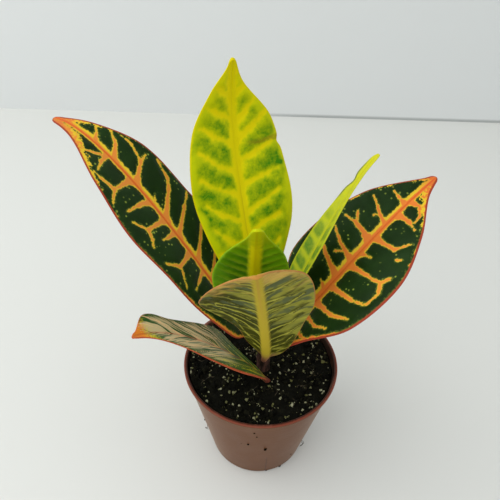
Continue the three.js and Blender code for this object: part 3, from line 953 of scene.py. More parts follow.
def mature_leaf(name, settings, length, bright, ruddy):
    """Dark green panels between orange veins with yellow edges, wider on the bright side of the midrib."""
    material, plan, along, across, (vein, rib, edge, rim, upper) = leaf_paint(name + "_mature", *LAYERS)
    fine = clouds(plan, 1.3, 2)
    ragged = clouds(plan, 0.45, 2)
    jags = fine * 0.8 + ragged * 1.2
    outline = vein.blended_least(rib - smooth(across * bright, 0, 0.6) * 0.6, 1.6) + jags
    green = mix(smooth(clouds(plan, 0.16, 3), -0.15, 0.25), settings.panel, settings.panel_light)
    shown = smooth(clouds(plan, 0.16, 1), -0.06, 0.08)
    for scale, size in ((0.5, 0.22), (0.28, 0.16)):
        cells = plan.add("ShaderNodeTexVoronoi", {}, {"Vector": plan, "Scale": scale})
        green = mix(smooth(cells + fine * 0.15, size, size * 0.3) * shown * 0.8, green, settings.fleck)
    band = abs(across) / (abs(across) - rib)
    inner = smooth(vein + jags - ruddy * 0.15, 0.1, -0.22) * (1 - smooth(abs(across), 4, 18) * 0.2)
    orange = mix(smooth(band + jags * 0.5, 0.9, 0.35).most(ruddy), settings.core, settings.heart)
    paint = mix(inner.most(smooth(band + jags * 0.3, 1.0, 0.75)), settings.border, orange)
    paint = mix(smooth(abs(across) + fine * 0.4, 0.35, 0.1) * 0.35, paint, settings.centre)
    ripe = smooth(along, length * 0.5, length * 0.85)
    ribbon = rim + jags * (ripe * 4 + 1.3)
    on_rim = smooth(ribbon, 0.15, -0.2) * smooth(rib, -0.4, 0.2)
    rusty = smooth(ribbon + (fine + ragged) * 3 + ripe * 2, 0.5, -0.3)
    paint = mix(on_rim, paint, mix(rusty, settings.border, orange))
    paint = mix(smooth(along, length - 10, length - 1) * 0.65, paint, settings.tip)
    green = mix(smooth(outline.least(ribbon) + fine * 0.5, 0.7, 0.3) * 0.2, green, settings.fleck)
    colour = mix(smooth(outline, 0.32, 0.04).most(on_rim), green, paint)
    colour = mix(smooth(edge + fine * 0.5 - smooth(across, 0, 1) * 0.25, 0.65, 0.3), colour, settings.margin)
    dull = mix(smooth(outline, 0.5, -0.3), settings.below, settings.core)
    dull = mix(smooth(edge + fine * 0.4, 0.7, 0.3), dull, settings.margin)
    colour = mix(upper, dull, colour)
    colour = mix(smooth(along, 1.5, -1.5), colour, settings.stalk)
    height = clouds(plan, 2.6, 3, 0.6) + smooth(outline, -0.2, 0.5) * 0.5
    rough = bpy.context.scene.croton_blade.gloss + clouds(plan, 0.5, 2) * 0.15
    return finish_material(material, colour, rough, height, 0.12, 0.08)


def streaked_leaf(name, settings, length):
    """Green under thin pinkish streaks that lean far forward, with a painted pale sheen and yellow blotches.
    """
    wires = leaf_paint(name + "_streaked", "vein", "edge", "upper")
    material, plan, along, across, (vein, edge, upper) = wires
    lean = along - abs(across) * 2.4 + clouds(plan, 0.07, 2) * 16
    fine = clouds(plan, 1.3, 2, 0.6)
    broad = clouds(joined(lean * 0.16, across * 0.16), 1.0, 3)
    streaks = clouds(joined(lean * 0.7, across * 0.1), 1.0, 2)
    threads = clouds(joined(lean * 2.0, across * 0.16), 1.0, 2)
    # Painted sheen: the pale tan laid over the panels away from the stalk and the margins stands in for the
    # reflection on the blade.
    pale = smooth(along + broad * 30, 19, 35) * smooth(edge + broad * 6, 0.2, 3)
    colour = mix(pale * smooth(streaks + broad * 0.9, -0.08, 0.04) * 0.9, settings.panel, settings.islands_and_sheen)
    lower = smooth(across, 0, -1)
    blotched = smooth(abs(along - 22 + streaks * 12), 13, 7) * lower * smooth(edge, 5.5, 3)
    colour = mix(blotched * smooth(broad + fine * 0.8, 0.0, 0.1) * 0.85, colour, settings.blotch)
    shown = smooth(along + broad * 20, 8, 36) * 0.75 + 0.25
    line = mix(smooth(along + broad * 24, 16, 36), settings.blotch, settings.streak)
    colour = mix(smooth(streaks + fine * 0.2, 0.1, 0.18) * shown * 0.7, colour, line)
    colour = mix(smooth(threads, 0.11, 0.18) * (shown * 0.5 + 0.2), colour, line)
    colour = mix(smooth(vein + fine * 0.6, 0.15, -0.1) * 0.75, colour, line)
    end = smooth(along + fine * 8 - across * 0.5, length - 9, length - 4) * smooth(fine + streaks, 0.25, 0.12)
    ripe = mix(smooth(fine - (along - length) * 0.06, 0.25, 0.45), settings.tip, settings.blotch)
    colour = mix(end, colour, ripe)
    colour = mix(smooth(abs(across) + fine * 0.4, 0.6, 0.25) * (0.4 + lower * 0.4), colour, settings.margin)
    thick = lower * smooth(along, 46, 20) * 0.6 + smooth(along, length - 7, length - 2) * 0.2
    border = edge - 0.2 - thick + fine * 0.5
    colour = mix(smooth(border, 0.15, -0.15) * (0.5 + lower * 0.5), colour, settings.margin)
    below = mix(smooth(streaks, 0, 0.2), settings.panel, settings.streak)
    colour = mix(upper, mix(smooth(edge, 1.0, 0.5), below, settings.margin), colour)
    colour = mix(smooth(along + fine * 2, 6, 1) * 0.9, colour, settings.stalk)
    height = streaks + fine * 0.5
    return finish_material(material, colour, 0.4 + fine * 0.1, height, 0.12, 0.12)


def yellow_leaf(name, settings, length):
    """Lime yellow with soft green patches between feathery lighter veins."""
    material, plan, along, across, (vein, rib, edge) = leaf_paint(name + "_yellow", *LAYERS[:3])
    grain = clouds(plan, 1.3, 3, 0.65)
    mottle = clouds(plan, 0.42, 3, 0.6)
    broad = clouds(plan, 0.16, 2)
    inside = vein.least(rib) + mottle * 2.6 + broad * 1.6
    fade = smooth(along + broad * 24, length * 1.04, length * 0.75)
    patch = smooth(inside, -0.2, 2.8) * smooth(edge + broad * 8, 0.4, 4.6) * fade
    colour = mix(smooth(inside + broad * 2, -0.6, 1.4) * (0.35 + fade * 0.65), settings.blade, settings.lime)
    colour = mix(patch * (0.62 + broad * 1.6 + mottle * 1.2 + grain * 0.9), colour, settings.patch)
    colour = mix(smooth(along + broad * 20, 45, 5) * 0.2, colour, settings.patch)
    colour = mix(smooth(vein + mottle * 1.2 + grain * 0.6, 0.7, -0.5) * 0.5, colour, settings.rib)
    colour = mix(smooth(rib + grain * 0.4, 1.1, -0.8), colour, settings.rib)
    colour = mix(smooth(edge + grain * 0.4, 0.8, 0.2) * 0.8, colour, settings.rib)
    colour = mix(smooth(abs(across), 0.35, 0.1) * smooth(along, 60, 35) * 0.2, colour, settings.crease)
    mark = smooth(abs(along - 60.5 + mottle * 2), 1.3, 0.2) * smooth(across, 2.5, 7) * (0.5 + grain)
    colour = mix(mark, colour, settings.crease)
    height = clouds(plan, 2.4, 3, 0.6) + smooth(inside, 0, 2) * 0.4 - mark
    rough = bpy.context.scene.croton_blade.gloss + 0.05 + broad * 0.15
    return finish_material(material, colour, rough, height, 0.12, 0.06)


def pale_leaf(name, settings, length):
    """Pale lime with a row of soft green windows beside the midrib, and painted shade in grey-green along one
    edge near the tip.
    """
    material, plan, along, across, (vein, rib, edge) = leaf_paint(name + "_pale", *LAYERS[:3])
    grain = clouds(plan, 1.3, 3, 0.65)
    mottle = clouds(plan, 0.4, 2)
    window = smooth(vein + mottle, -0.3, 1.3) * smooth(rib + mottle, -0.3, 0.9)
    window = window * smooth(edge + mottle, 0.2, 1.3)
    window = window * smooth(along + mottle * 16, length * 0.8, length * 0.5)
    colour = mix(mottle + 0.5, settings.pale, settings.lime)
    colour = mix(window * (0.85 + mottle + grain * 0.8), colour, settings.window)
    colour = mix(smooth(along + mottle * 20, length * 0.6, length) * 0.35, colour, settings.blade)
    colour = mix(smooth(abs(across) + grain * 0.5, 0.5, 0.1) * 0.2, colour, settings.rib)
    shaded = smooth(edge + grain * 0.5, 0.9, 0.4) * smooth(across, 0, -0.3)
    shaded = shaded * smooth(along, length * 0.7, length * 0.78) * smooth(along, length, length * 0.9)
    colour = mix(shaded * 0.8, colour, settings.shaded)
    height = clouds(plan, 2.4, 3, 0.6) + window * 0.4
    rough = bpy.context.scene.croton_blade.gloss + 0.05 + mottle * 0.15
    return finish_material(material, colour, rough, height, 0.1, 0.06)


def green_leaf(name, settings, length):
    """Green with light veins, brighter towards the margins, with a wide soft yellow midrib and tip."""
    material, plan, along, across, (vein, rib, edge) = leaf_paint(name + "_green", *LAYERS[:3])
    mottle = clouds(plan, 0.8, 3)
    broad = clouds(plan, 0.2, 2)
    colour = mix(smooth(edge + broad * 8 - smooth(across, 0, -2) * 4, 7, -1), settings.panel, settings.bright)
    light = smooth(vein + mottle * 0.9, 1.3, -0.4) * smooth(edge, -1, 6)
    colour = mix(light * 0.65, colour, settings.vein)
    colour = mix(smooth(edge + mottle * 0.3, 0.7, 0.2) * 0.5, colour, settings.vein)
    colour = mix(smooth(rib + mottle * 0.8, 0.9, -0.8), colour, settings.rib)
    colour = mix(smooth(along + broad * 6 + mottle * 5, length - 15, length - 3) * 0.85, colour, settings.tip)
    colour = mix(smooth(abs(across) + mottle * 0.3, 0.4, 0.1) * 0.12, colour, settings.line)
    height = clouds(plan, 2.4, 3, 0.6)
    return finish_material(material, colour, 0.45 + mottle * 0.1, height, 0.1, 0.06)


def olive_leaf(name, settings, length):
    """Olive panels with grey-green islands between thin yellow veins, streaked with tan towards the tip, with
    painted shade beside the veins and over the lower part.
    """
    material, plan, along, across, (vein, rib, edge) = leaf_paint(name + "_olive", *LAYERS[:3])
    lean = along - abs(across) * 0.75
    fine = clouds(plan, 0.9, 2)
    broad = clouds(plan, 0.14, 2)
    streaks = clouds(joined(lean * 0.3, across * 0.09), 1.0, 3)
    threads = clouds(joined(lean * 1.2, across * 0.14), 1.0, 2)
    line = vein + fine * 0.4 + broad * 0.6
    # Painted shade: the blade's lower part and one side, and the strips beside the veins, take the darker
    # olive.
    deep_shade = smooth(along + broad * 20 - across * 2.5, length * 0.62, length * 0.2)
    colour = mix(smooth(line + threads * 1.5 - deep_shade * 2, -0.2, 1.0), settings.shade, settings.panel)
    island = smooth(streaks + broad * 0.6, -0.01, -0.07) * smooth(line, 0.15, 0.6)
    island = island * smooth(along + streaks * 30, length * 0.25, length * 0.5)
    colour = mix(island * 0.9, colour, settings.islands_and_sheen)
    colour = mix(smooth(streaks, 0.05, 0.2) * 0.5, colour, settings.vein)
    colour = mix(smooth(threads, 0.14, 0.22) * 0.4, colour, settings.vein)
    # Painted shade in thin dark threads.
    colour = mix(smooth(threads, -0.1, -0.22) * 0.25, colour, settings.shade)
    tan = smooth(along + broad * 30 + streaks * 34, length * 0.7, length * 0.93)
    colour = mix(tan * 0.8, colour, settings.tip)
    colour = mix(smooth(line, 0.06, -0.16) * 0.7, colour, settings.vein)
    colour = mix(smooth(rib + fine * 0.6, 0.7, -0.6), colour, settings.rib)
    crease = smooth(abs(across) + fine * 0.4, 0.5, 0.1) * smooth(along, 30, 70)
    colour = mix(crease * 0.3, colour, settings.margin)
    colour = mix(smooth(edge + fine * 0.5, 0.35, 0.1) * 0.8, colour, settings.margin)
    colour = mix(smooth(along + fine * 3, 11, -1), colour, settings.stalk)
    height = clouds(plan, 2.4, 3, 0.6) + streaks
    return finish_material(material, colour, 0.5 + fine * 0.1, height, 0.06, 0.08)


# Pot


def pot_wall(z):
    return POT["base"] + (POT["neck"] - POT["base"]) * z / LIP_UNDER


def quarter(r, z, radius, start, steps):
    angles = [math.radians(start + 90 * k / steps) for k in range(steps + 1)]
    return [(r + radius * math.cos(a), z + radius * math.sin(a)) for a in angles]


def pot_profile():
    """Half of the pot's section, from the middle of its underside round to the middle of its floor."""
    lip_round, corner = POT["lip_round"], POT["foot_corner"]
    mouth = pot_wall(POT["height"]) - POT["wall"]
    wall = [(pot_wall(z), z) for z in np.linspace(3, LIP_UNDER - 1, 16)]
    neck = [(pot_wall(z), z) for z in (LIP_UNDER - 0.3, LIP_UNDER)]
    inner = [(pot_wall(z) - POT["wall"], z) for z in np.linspace(POT["height"] - 1.5, FLOOR_TOP, 10)]
    return [
        (POT["boss"], 0),
        (POT["boss"] + POT["bevel"], POT["recess"]),
        (FOOT_RING_INNER - POT["bevel"], POT["recess"]),
        (FOOT_RING_INNER, 0),
        *quarter(pot_wall(corner) - corner, corner, corner, -90, 8),
        *wall,
        *neck,
        *quarter(POT["lip"] - lip_round, LIP_UNDER + lip_round, lip_round, -90, 5),
        *quarter(POT["lip"] - lip_round, POT["height"] - lip_round, lip_round, 0, 5),
        *quarter(mouth + lip_round, POT["height"] - lip_round, lip_round, 90, 5),
        *inner,
    ]


def turned(profile, angles):
    """A closed surface of revolution: points and faces."""
    around = np.stack([np.cos(angles), np.sin(angles)], -1)
    rings = np.array([[(r * c, r * s, z) for c, s in around] for r, z in profile])
    points = [*rings.reshape(-1, 3), (0, 0, profile[0][1]), (0, 0, profile[-1][1])]
    return points, skin_faces(*rings.shape[:2])


def pot_plastic(settings):
    """Thin brown plastic with a redder lip, a moulding seam, faint scuffs, soil stains and a painted sheen at
    its outline.
    """
    material = new_material("pot_plastic_fine")
    place = place_of(material)
    x, y, z = (part_of(place, axis) for axis in range(3))
    cloud = clouds(place, 0.09, 3)
    grain = clouds(place, 1.4, 3, 0.6)
    slope = (POT["neck"] - POT["base"]) / LIP_UNDER
    # Painted sheen: the wall turns paler brown where it turns away from the view, in place of a reflection.
    grazing_sheen = place.add("ShaderNodeLayerWeight", {}, {"Blend": 0.25}, 1)
    colour = mix(smooth(grazing_sheen, 0.45, 0.95) * 0.7, settings.body, settings.edge)
    colour = mix(smooth(z + cloud * 0.3, LIP_UNDER + 0.6, LIP_UNDER + 1.0) * 0.9, colour, settings.lip)
    away = scaled(place, (1, 1, 0))
    away = away.add("ShaderNodeVectorMath", {"operation": "LENGTH"}, {0: away}, 1)
    inner = smooth(away - z * slope, POT["base"] - 0.3, POT["base"] - 0.8) * smooth(z, 10, 20)
    top = smooth(away + grain * 0.4, POT["lip"] - 0.35, POT["lip"] - 0.85)
    top = top * smooth(z, POT["height"] - 0.5, POT["height"])
    colour = mix(inner.most(top * 0.8) * smooth(cloud + grain * 0.5, 0.4, 0.0), colour, settings.stain)
    dusty = smooth(cloud + grain * 0.25, 0.0, 0.35)
    colour = mix(dusty * 0.2, colour, settings.dust)
    soiled = smooth(clouds(place, 0.5, 4, 0.65) + smooth(z, 20, 0) * 0.05, 0.22, 0.3)
    colour = mix(soiled * 0.45, colour, settings.soiled)
    seam = smooth(abs(x - 3.6 + grain * 0.15), 0.35, 0.1) * smooth(y, 0, -1) * smooth(z + cloud * 4, 19, 15)
    colour = mix(seam * 0.55, colour, settings.seam)
    rough = settings.roughness + cloud * 0.2 + grain * 0.08
    rings = clouds(scaled(place, (0.02, 0.02, 2.2)), 1.0, 2)
    return finish_material(material, colour, rough, grain * 0.5 + rings - seam, 0.05, 0.15)


def build_pot(settings):
    """The pot, with its drain holes cut by a row of drills."""
    angles = np.linspace(0, 2 * np.pi, settings.segments, endpoint=False)
    points, faces = turned(pot_profile(), angles)
    pot = add_mesh("pot_fine", points, faces, pot_plastic(settings), ["pot"])
    drills = bmesh.new()
    reach, size = (POT["boss"] + FOOT_RING_INNER) / 2 * MM, POT["hole_radius"] * MM
    drill = {"cap_ends": True, "segments": 48, "radius1": size, "radius2": size, "depth": 12 * MM}
    for k in range(POT["holes"]):
        place = polar(reach, 2 * math.pi * (k + 0.5) / POT["holes"], 2 * MM)
        bmesh.ops.create_cone(drills, matrix=Matrix.Translation(place), **drill)
    mesh = bpy.data.meshes.new("drills")
    drills.to_mesh(mesh)
    drills.free()
    cutter = add_object("drills", mesh)
    cut = pot.modifiers.new("holes", "BOOLEAN")
    cut.operation = "DIFFERENCE"
    cut.object = cutter
    cut.solver = "EXACT"
    graph = bpy.context.evaluated_depsgraph_get()
    drilled = bpy.data.meshes.new_from_object(pot.evaluated_get(graph))
    pot.modifiers.clear()
    pot.data = drilled
    bpy.data.objects.remove(cutter)
    drilled.shade_smooth()
    drilled.set_sharp_from_angle(angle=math.radians(40))
    return pot


# Soil


def soil_height(x, y):
    level = SOIL["level"]
    for k, (height, along_x, along_y) in enumerate(SOIL["ripples"]):
        level += height * math.sin(2 * math.pi * (along_x * x + along_y * y) + SOIL["phase"] * k)
    return level


def rough_height(x, y):
    """The soil's surface with its lumps, in millimetres."""
    lumps = noise.fractal(Vector((x * 0.35, y * 0.35, 3.0)), 0.9, 2.1, 4)
    grit = noise.fractal(Vector((x * 1.3, y * 1.3, 9.0)), 0.9, 2.1, 3)
    heaped = 0.7 * (math.hypot(x, y) / 28) ** 4
    return soil_height(x, y) + heaped + 0.45 * lumps + 0.28 * grit


def peat_material(name, settings, loose=False):
    material = new_material(name)
    place = place_of(material)
    grit = clouds(place, 1.6, 4, 0.65)
    tone = attribute(material, "tone") if loose else clouds(place, 0.4, 3) + 0.4
    colour = mix(smooth(grit + tone * 0.6, 0.1, 0.75), settings.peat, settings.peat_light)
    return finish_material(material, colour, 0.85 + grit * 0.2, grit, 0.5, 0.08, 1.0)


def build_soil(settings):
    """The soil: a plain underside and flank, and close rings of points over its rough surface."""
    rings, sides = 74, 220
    bottom = FLOOR_TOP + SOIL["seat_gap"]
    edge = pot_wall(SOIL["level"]) - POT["wall"] - SOIL["wall_gap"]
    rim_level = SOIL["level"] - SOIL["edge_depth"]
    points = []
    for z, gap in ((bottom, SOIL["seat_gap"]), (rim_level, SOIL["wall_gap"])):
        radius = pot_wall(z) - POT["wall"] - gap
        points += [polar(radius, 2 * math.pi * k / sides, z) for k in range(sides)]
    for i in range(rings, 0, -1):
        sunk = 0.5 if i == rings else 0
        for k in range(sides):
            x, y, _ = polar(edge * i / rings, 2 * math.pi * (k + 0.5 * (i % 2)) / sides, 0)
            points.append((x, y, rough_height(x, y) - sunk))
    points += [(0, 0, bottom), (0, 0, rough_height(0, 0))]
    faces = skin_faces(rings + 2, sides)
    return add_mesh("soil_fine", points, faces, peat_material("peat", settings), ["soil"])


def lump_form():
    form = bmesh.new()
    bmesh.ops.create_icosphere(form, subdivisions=2, radius=1.0)
    points = np.array([v.co[:] for v in form.verts])
    faces = [[v.index for v in f.verts] for f in form.faces]
    form.free()
    return points, faces


def lumps(places, seed, rough):
    """Irregular lumps in one mesh: each place has its middle and its size across."""
    points, faces = lump_form()
    chance = np.random.default_rng(seed)
    all_points, all_faces, tones = [], [], []
    for x, y, z, size in places:
        spin = Matrix.Rotation(chance.uniform(0, 2 * math.pi), 3, "Z")
        turn = spin @ Matrix.Rotation(chance.uniform(0, math.pi), 3, "X")
        stretch = np.array([1, chance.uniform(0.6, 1.0), chance.uniform(0.6, 1.0)])
        shift = chance.uniform(0, 100, 3)
        radii = [1 + rough * noise.noise(Vector(p * 1.4 + shift)) * 1.6 for p in points]
        lump = points * np.array(radii)[:, None] * stretch * size / 2
        lump = lump @ np.array(turn).T + (x, y, z)
        all_faces += [[i + len(all_points) * len(points) for i in f] for f in faces]
        all_points.append(lump)
        tones += [chance.uniform(0, 1)] * len(points)
    return np.concatenate(all_points), all_faces, tones


def add_lumps(name, places, seed, rough, material):
    points, faces, tones = lumps(places, seed, rough)
    return add_mesh(name, points, faces, material, values={"tone": tones})


def scattered(count, low, high, seed, reach=SOIL_REACH, gathered=0):
    """Places on the soil, clear of the stem and the lowest stalk, and gathered into loose groups."""
    chance = np.random.default_rng(seed)
    places = []
    while len(places) < count:
        radius, angle = reach * math.sqrt(chance.uniform()), chance.uniform(0, 2 * math.pi)
        size = low + (high - low) * chance.uniform() ** 2.2
        x, y, _ = polar(radius, angle, 0)
        if any(math.hypot(x - at_x, y - at_y) < clear + size / 2 for at_x, at_y, clear in CLEAR):
            continue
        if noise.noise(Vector((x * 0.22, y * 0.22, 5.0))) < gathered * (chance.uniform() - 0.5):
            continue
        places.append((x, y, rough_height(x, y) + size * 0.12, size))
    return places


def build_crumbs(settings):
    material = peat_material("peat_crumb", settings, loose=True)
    return add_lumps("peat_crumbs", scattered(settings.crumbs, 0.6, 2.4, 11), 12, 0.5, material)


def perlite_material(settings):
    material = new_material("perlite")
    place = place_of(material)
    tone = attribute(material, "tone")
    pores = clouds(place, 2.4, 4, 0.7)
    colour = mix(smooth(tone, 0.3, 1.0), settings.stained, settings.perlite)
    colour = mix(smooth(pores, 0.08, 0.2) * 0.7, colour, settings.pore)
    return finish_material(material, colour, 0.8 + pores * 0.2, pores, 0.3, 0.3, 0.9)


def build_perlite(settings):
    placed = [(x, y, rough_height(x, y) + size * 0.2, size) for x, y, size in GRAINS]
    small = scattered(settings.grains, 0.3, 1.1, 21, gathered=0.5)
    return add_lumps("perlite_grains", placed + small, 22, 0.8, perlite_material(settings))


def strand(points, radius, sides=6):
    """A thin closed tube along a line of points, tapering to its ends."""
    line = np.array(points, float)
    way = unit(np.gradient(line, axis=0))
    first = unit(np.cross(way, (0.3, 0.2, 1.0)))
    second = np.cross(way, first)
    share = np.linspace(0, 1, len(line))
    thick = radius * (0.35 + 0.65 * np.sin(np.pi * share) ** 0.5)
    angles = 2 * np.pi * np.arange(sides) / sides
    across = np.cos(angles)[None, :, None] * first[:, None] + np.sin(angles)[None, :, None] * second[:, None]
    rings = line[:, None] + thick[:, None, None] * across
    faces = [[a, d, c, b] for a, b, c, d in ring_faces(len(line), sides)]
    faces.append(list(range(sides)))
    faces.append([(len(line) - 1) * sides + k for k in range(sides)][::-1])
    return rings.reshape(-1, 3), faces


def fibre_material(settings):
    material = new_material("root_fibre")
    place = place_of(material)
    cloud = clouds(place, 0.8, 3)
    colour = mix(smooth(cloud, -0.2, 0.25), settings.peat_light, settings.fibre)
    return finish_material(material, colour, 0.75 + cloud * 0.1, cloud, 0.1, 0.3)


def build_fibres(settings):
    """Thin root fibres that lie on the soil, and a few that hang down outside the pot."""
    chance = np.random.default_rng(31)
    steps, lines = FIBRES["steps"], []
    places = scattered(FIBRES["count"], FIBRES["shortest"], FIBRES["longest"], 32, FIBRES["reach"])
    for x, y, z, size in places:
        angle, curve = chance.uniform(0, 2 * math.pi), chance.uniform(-0.25, 0.25)
        line = []
        for k in range(steps + 1):
            px = x + size * (k / steps - 0.5) * math.cos(angle + curve * k)
            py = y + size * (k / steps - 0.5) * math.sin(angle + curve * k)
            line.append((px, py, rough_height(px, py) + 0.15 + 0.35 * abs(math.sin(k * 0.8 + size))))
        if max(math.hypot(p[0], p[1]) for p in line) < FIBRES["limit"]:
            lines.append((line, chance.uniform(0.06, 0.13)))
    for degrees, z, length in HANGING:
        phase = chance.uniform(0, 2 * math.pi)
        line = []
        for k in range(steps + 1):
            height = z - length * k / steps
            angle = math.radians(degrees) + 0.03 * math.sin(k * 0.9 + phase)
            away = pot_wall(min(height, 47)) + 0.1
            away += 0.9 * math.sin(math.pi * k / steps) ** 2 + 0.5 * (k / steps)
            line.append(polar(away, angle, height))
        lines.append((line, 0.1))
    points, faces, total = [], [], 0
    for line, radius in lines:
        rings, skin = strand(line, radius)
        points.append(rings)
        faces += [[i + total for i in f] for f in skin]
        total += len(rings)
    material = fibre_material(settings)
    return add_mesh("root_fibres", np.concatenate(points), faces, material)


def build_clinging(settings):
    """Crumbs of soil stuck to the outside of the pot, or lying against its foot."""
    places = []
    for degrees, z, size in CLINGING:
        radius = pot_wall(z) + size * 0.08
        if z < 1.8:
            radius -= 0.6
        places.append((*polar(radius, math.radians(degrees), max(z, size * 0.4)), size))
    material = peat_material("clinging_peat", settings, loose=True)
    return add_lumps("clinging_crumbs", places, 41, 0.5, material)


# Stem


def bark_material(settings):
    material = new_material("stem_bark_fine")
    place = place_of(material)
    z = part_of(place, 2)
    grooves = clouds(scaled(place, (1.2, 1.2, 0.25)), 1.0, 4, 0.6)
    spots = clouds(place, 0.8, 3)
    colour = mix(smooth(grooves, -0.12, 0.12), settings.groove, settings.bark)
    colour = mix(smooth(z + spots * 6, 60, 72) * 0.8, colour, settings.young)
    return finish_material(material, colour, 0.7 + spots * 0.15, grooves, 0.35, 0.15, 0.9)


def build_stem(settings):
    """The stem: rings along its axis, roughened by bark and by the low steps of its leaf scars."""
    foot, top = Vector(STEM["foot"]), Vector(STEM["top"])
    ahead = (top - foot).normalized()
    u = (Vector((1, 0, 0)) - ahead * ahead.x).normalized()
    v = ahead.cross(u)
    shares, girths = zip(*STEM["girth"])
    rows, sides, least_girth = 110, 56, 0.15
    points = []
    for i in range(rows):
        share = i / (rows - 1)
        girth = float(np.interp(share, shares, girths))
        middle = foot + (top - foot) * share
        for k in range(sides):
            angle = 2 * math.pi * k / sides
            way = u * math.cos(angle) + v * math.sin(angle)
            bark = noise.fractal(way * 2.2 + Vector((0, 0, share * 9)), 0.9, 2.0, 4)
            scar = 0.12 * math.sin(share * 80 + math.sin(angle) * 1.5) * (1 - share) * 0.6
            points.append(tuple(middle + way * max(girth * (1 + 0.06 * bark) + scar, least_girth)))
    faces = ring_faces(rows, sides)
    faces.append(tuple(range(sides))[::-1])
    faces.append(tuple((rows - 1) * sides + k for k in range(sides)))
    return add_mesh("stem_fine", points, faces, bark_material(settings), ["stem"])


# Stage


def stage_sheet(name, corners, colour, roughness, settings, shade=0.0):
    """One sheet of the surroundings; shade darkens its lowest millimetres."""
    mesh = bpy.data.meshes.new(name)
    mesh.from_pydata([tuple(c * MM for c in corner) for corner in corners], [], [(0, 1, 2, 3)])
    sheet = add_object(name, mesh)
    material = new_material(name + "_paint")
    place = place_of(material)
    paint = mix(smooth(clouds(place, 0.004, 3), -0.5, 0.5) * 0.1, colour, settings.cloud)
    if shade:
        x, z = part_of(place, 0), part_of(place, 2)
        paint = mix(smooth(z, 4, 1) * smooth(x, -60, 60) * shade, paint, settings.shade)
    mesh.materials.append(finish_material(material, paint, roughness, clouds(place, 0.8, 3), 0.03, 0.3))
    return sheet


def build_stage(settings):
    """The floor and the wall behind, an even sky and one soft lamp."""
    reach, back, foot, top = (STAGE[key] for key in ("reach", "wall_at", "wall_foot", "wall_top"))
    floor = [(-reach, -reach, 0), (reach, -reach, 0), (reach, back, 0), (-reach, back, 0)]
    wall = [(-reach, back, foot), (reach, back, foot), (reach, back, top), (-reach, back, top)]
    stage_sheet("floor", floor, settings.floor, 0.5, settings)
    stage_sheet("wall", wall, settings.wall, 0.7, settings, shade=0.6)
    world = bpy.data.worlds.new("even_light")
    world.use_nodes = True
    background = world.node_tree.nodes["Background"]
    background.inputs["Color"].default_value = SKY_TINT
    background.inputs["Strength"].default_value = settings.sky
    bpy.context.scene.world = world
    light = bpy.data.lights.new("window", "AREA")
    light.shape = "RECTANGLE"
    light.size = light.size_y = LAMP["size"]
    light.energy = settings.window
    lamp = add_object("window", light)
    lamp.location = LAMP["place"]
    lamp.rotation_euler = (-lamp.location).to_track_quat("-Z", "Y").to_euler()


def build_camera():
    pitch, roll = math.radians(CAMERA["pitch"]), math.radians(CAMERA["roll"])
    ahead = Vector((0, math.cos(pitch), -math.sin(pitch)))
    right = Vector((1, 0, 0))
    up = right.cross(ahead)
    across = math.cos(roll) * right + math.sin(roll) * up
    above = -math.sin(roll) * right + math.cos(roll) * up
    lens = bpy.data.cameras.new("camera")
    lens.sensor_width = CAMERA["sensor"]
    lens.lens = CAMERA["lens"]
    lens.clip_start = CAMERA["near"]
    camera = add_object("camera", lens)
    turn = Matrix((across, above, -ahead)).transposed().to_4x4()
    camera.matrix_world = Matrix.Translation(Vector(CAMERA["place"]) * MM) @ turn
    bpy.context.scene.camera = camera


class CROTON_OT_stage(bpy.types.Operator):
    """Makes the floor, the wall, the soft light and the camera"""

    bl_idname = "croton.stage"
    bl_label = "Stage"

    def execute(self, context):
        build_stage(context.scene.croton_stage)
        build_camera()
        context.scene.view_settings.view_transform = "Standard"
        return {"FINISHED"}


class CROTON_OT_pot(bpy.types.Operator):
    """Turns the nursery pot and drills its holes"""

    bl_idname = "croton.pot"
    bl_label = "Pot"

    def execute(self, context):
        build_pot(context.scene.croton_pot)
        build_clinging(context.scene.croton_soil)
        return {"FINISHED"}


class CROTON_OT_soil(bpy.types.Operator):
    """Fills the pot with peat, perlite and root fibres"""

    bl_idname = "croton.soil"
    bl_label = "Soil"

    def execute(self, context):
        settings = context.scene.croton_soil
        build_soil(settings)
        build_crumbs(settings)
        build_perlite(settings)
        build_fibres(settings)
        return {"FINISHED"}


class CROTON_OT_stem(bpy.types.Operator):
    """Makes the short woody stem with its leaf scars"""

    bl_idname = "croton.stem"
    bl_label = "Stem"

    def execute(self, context):
        build_stem(context.scene.croton_stem)
        return {"FINISHED"}


class CROTON_OT_mature_leaves(bpy.types.Operator):
    """Makes the two large dark green leaves with orange veins"""

    bl_idname = "croton.mature_leaves"
    bl_label = "Mature leaves"

    def execute(self, context):
        settings = context.scene.croton_mature
        build_leaf("leaf_left", mature_leaf, settings, "leaf_mature", 1, 0.1)
        build_leaf("leaf_right", mature_leaf, settings, "leaf_mature", -1, 0.6)
        return {"FINISHED"}


class CROTON_OT_low_leaf(bpy.types.Operator):
    """Makes the low streaked leaf that grows out of the soil"""

    bl_idname = "croton.low_leaf"
    bl_label = "Low leaf"

    def execute(self, context):
        build_leaf("leaf_low", streaked_leaf, context.scene.croton_streaked, "leaf_mature")
        return {"FINISHED"}


class CROTON_OT_yellow_leaves(bpy.types.Operator):
    """Makes the young lime yellow leaves"""

    bl_idname = "croton.yellow_leaves"
    bl_label = "Yellow leaves"

    def execute(self, context):
        settings = context.scene.croton_yellow
        build_leaf("leaf_tall", yellow_leaf, settings, "leaf_yellow")
        build_leaf("leaf_narrow", pale_leaf, settings, "leaf_yellow")
        return {"FINISHED"}


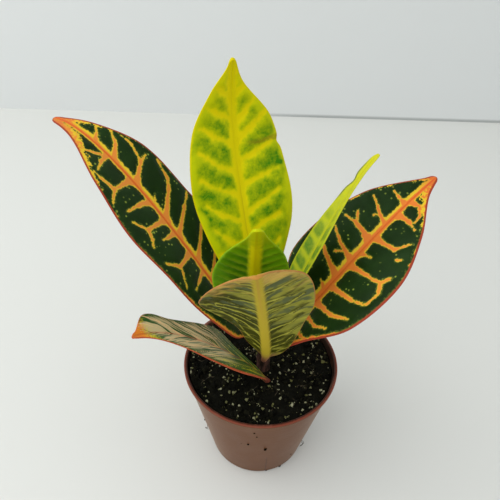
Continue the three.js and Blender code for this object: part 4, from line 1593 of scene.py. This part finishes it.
class CROTON_OT_green_leaf(bpy.types.Operator):
    """Makes the small bright green leaf"""

    bl_idname = "croton.green_leaf"
    bl_label = "Green leaf"

    def execute(self, context):
        build_leaf("leaf_small", green_leaf, context.scene.croton_green, "leaf_green")
        return {"FINISHED"}


class CROTON_OT_olive_leaf(bpy.types.Operator):
    """Makes the olive leaf that stands in front"""

    bl_idname = "croton.olive_leaf"
    bl_label = "Olive leaf"

    def execute(self, context):
        build_leaf("leaf_front", olive_leaf, context.scene.croton_olive, "leaf_olive")
        return {"FINISHED"}


OPERATORS = (
    CROTON_OT_stage,
    CROTON_OT_pot,
    CROTON_OT_soil,
    CROTON_OT_stem,
    CROTON_OT_mature_leaves,
    CROTON_OT_low_leaf,
    CROTON_OT_yellow_leaves,
    CROTON_OT_green_leaf,
    CROTON_OT_olive_leaf,
)


class VIEW3D_PT_croton(bpy.types.Panel):
    """Lists the pieces of the plant and their settings"""

    bl_label = "Potted Croton"
    bl_space_type = "VIEW_3D"
    bl_region_type = "UI"
    bl_category = "Croton"

    def draw(self, context):
        for operator in OPERATORS:
            self.layout.operator(operator.bl_idname)
        for key, group in GROUPS.items():
            box = self.layout.box()
            box.label(text=key.replace("croton_", "").title())
            for name in group.__annotations__:
                box.prop(getattr(context.scene, key), name)


CLASSES = (*GROUPS.values(), *OPERATORS, VIEW3D_PT_croton)


def register():
    for item in CLASSES:
        bpy.utils.register_class(item)
    for key, group in GROUPS.items():
        setattr(bpy.types.Scene, key, PointerProperty(type=group))


def unregister():
    for key in GROUPS:
        delattr(bpy.types.Scene, key)
    for item in reversed(CLASSES):
        bpy.utils.unregister_class(item)


def main():
    register()
    bpy.ops.croton.stage()
    bpy.ops.croton.pot()
    bpy.ops.croton.soil()
    bpy.ops.croton.stem()
    bpy.ops.croton.mature_leaves()
    bpy.ops.croton.low_leaf()
    bpy.ops.croton.yellow_leaves()
    bpy.ops.croton.green_leaf()
    bpy.ops.croton.olive_leaf()


if __name__ == "__main__":
    main()
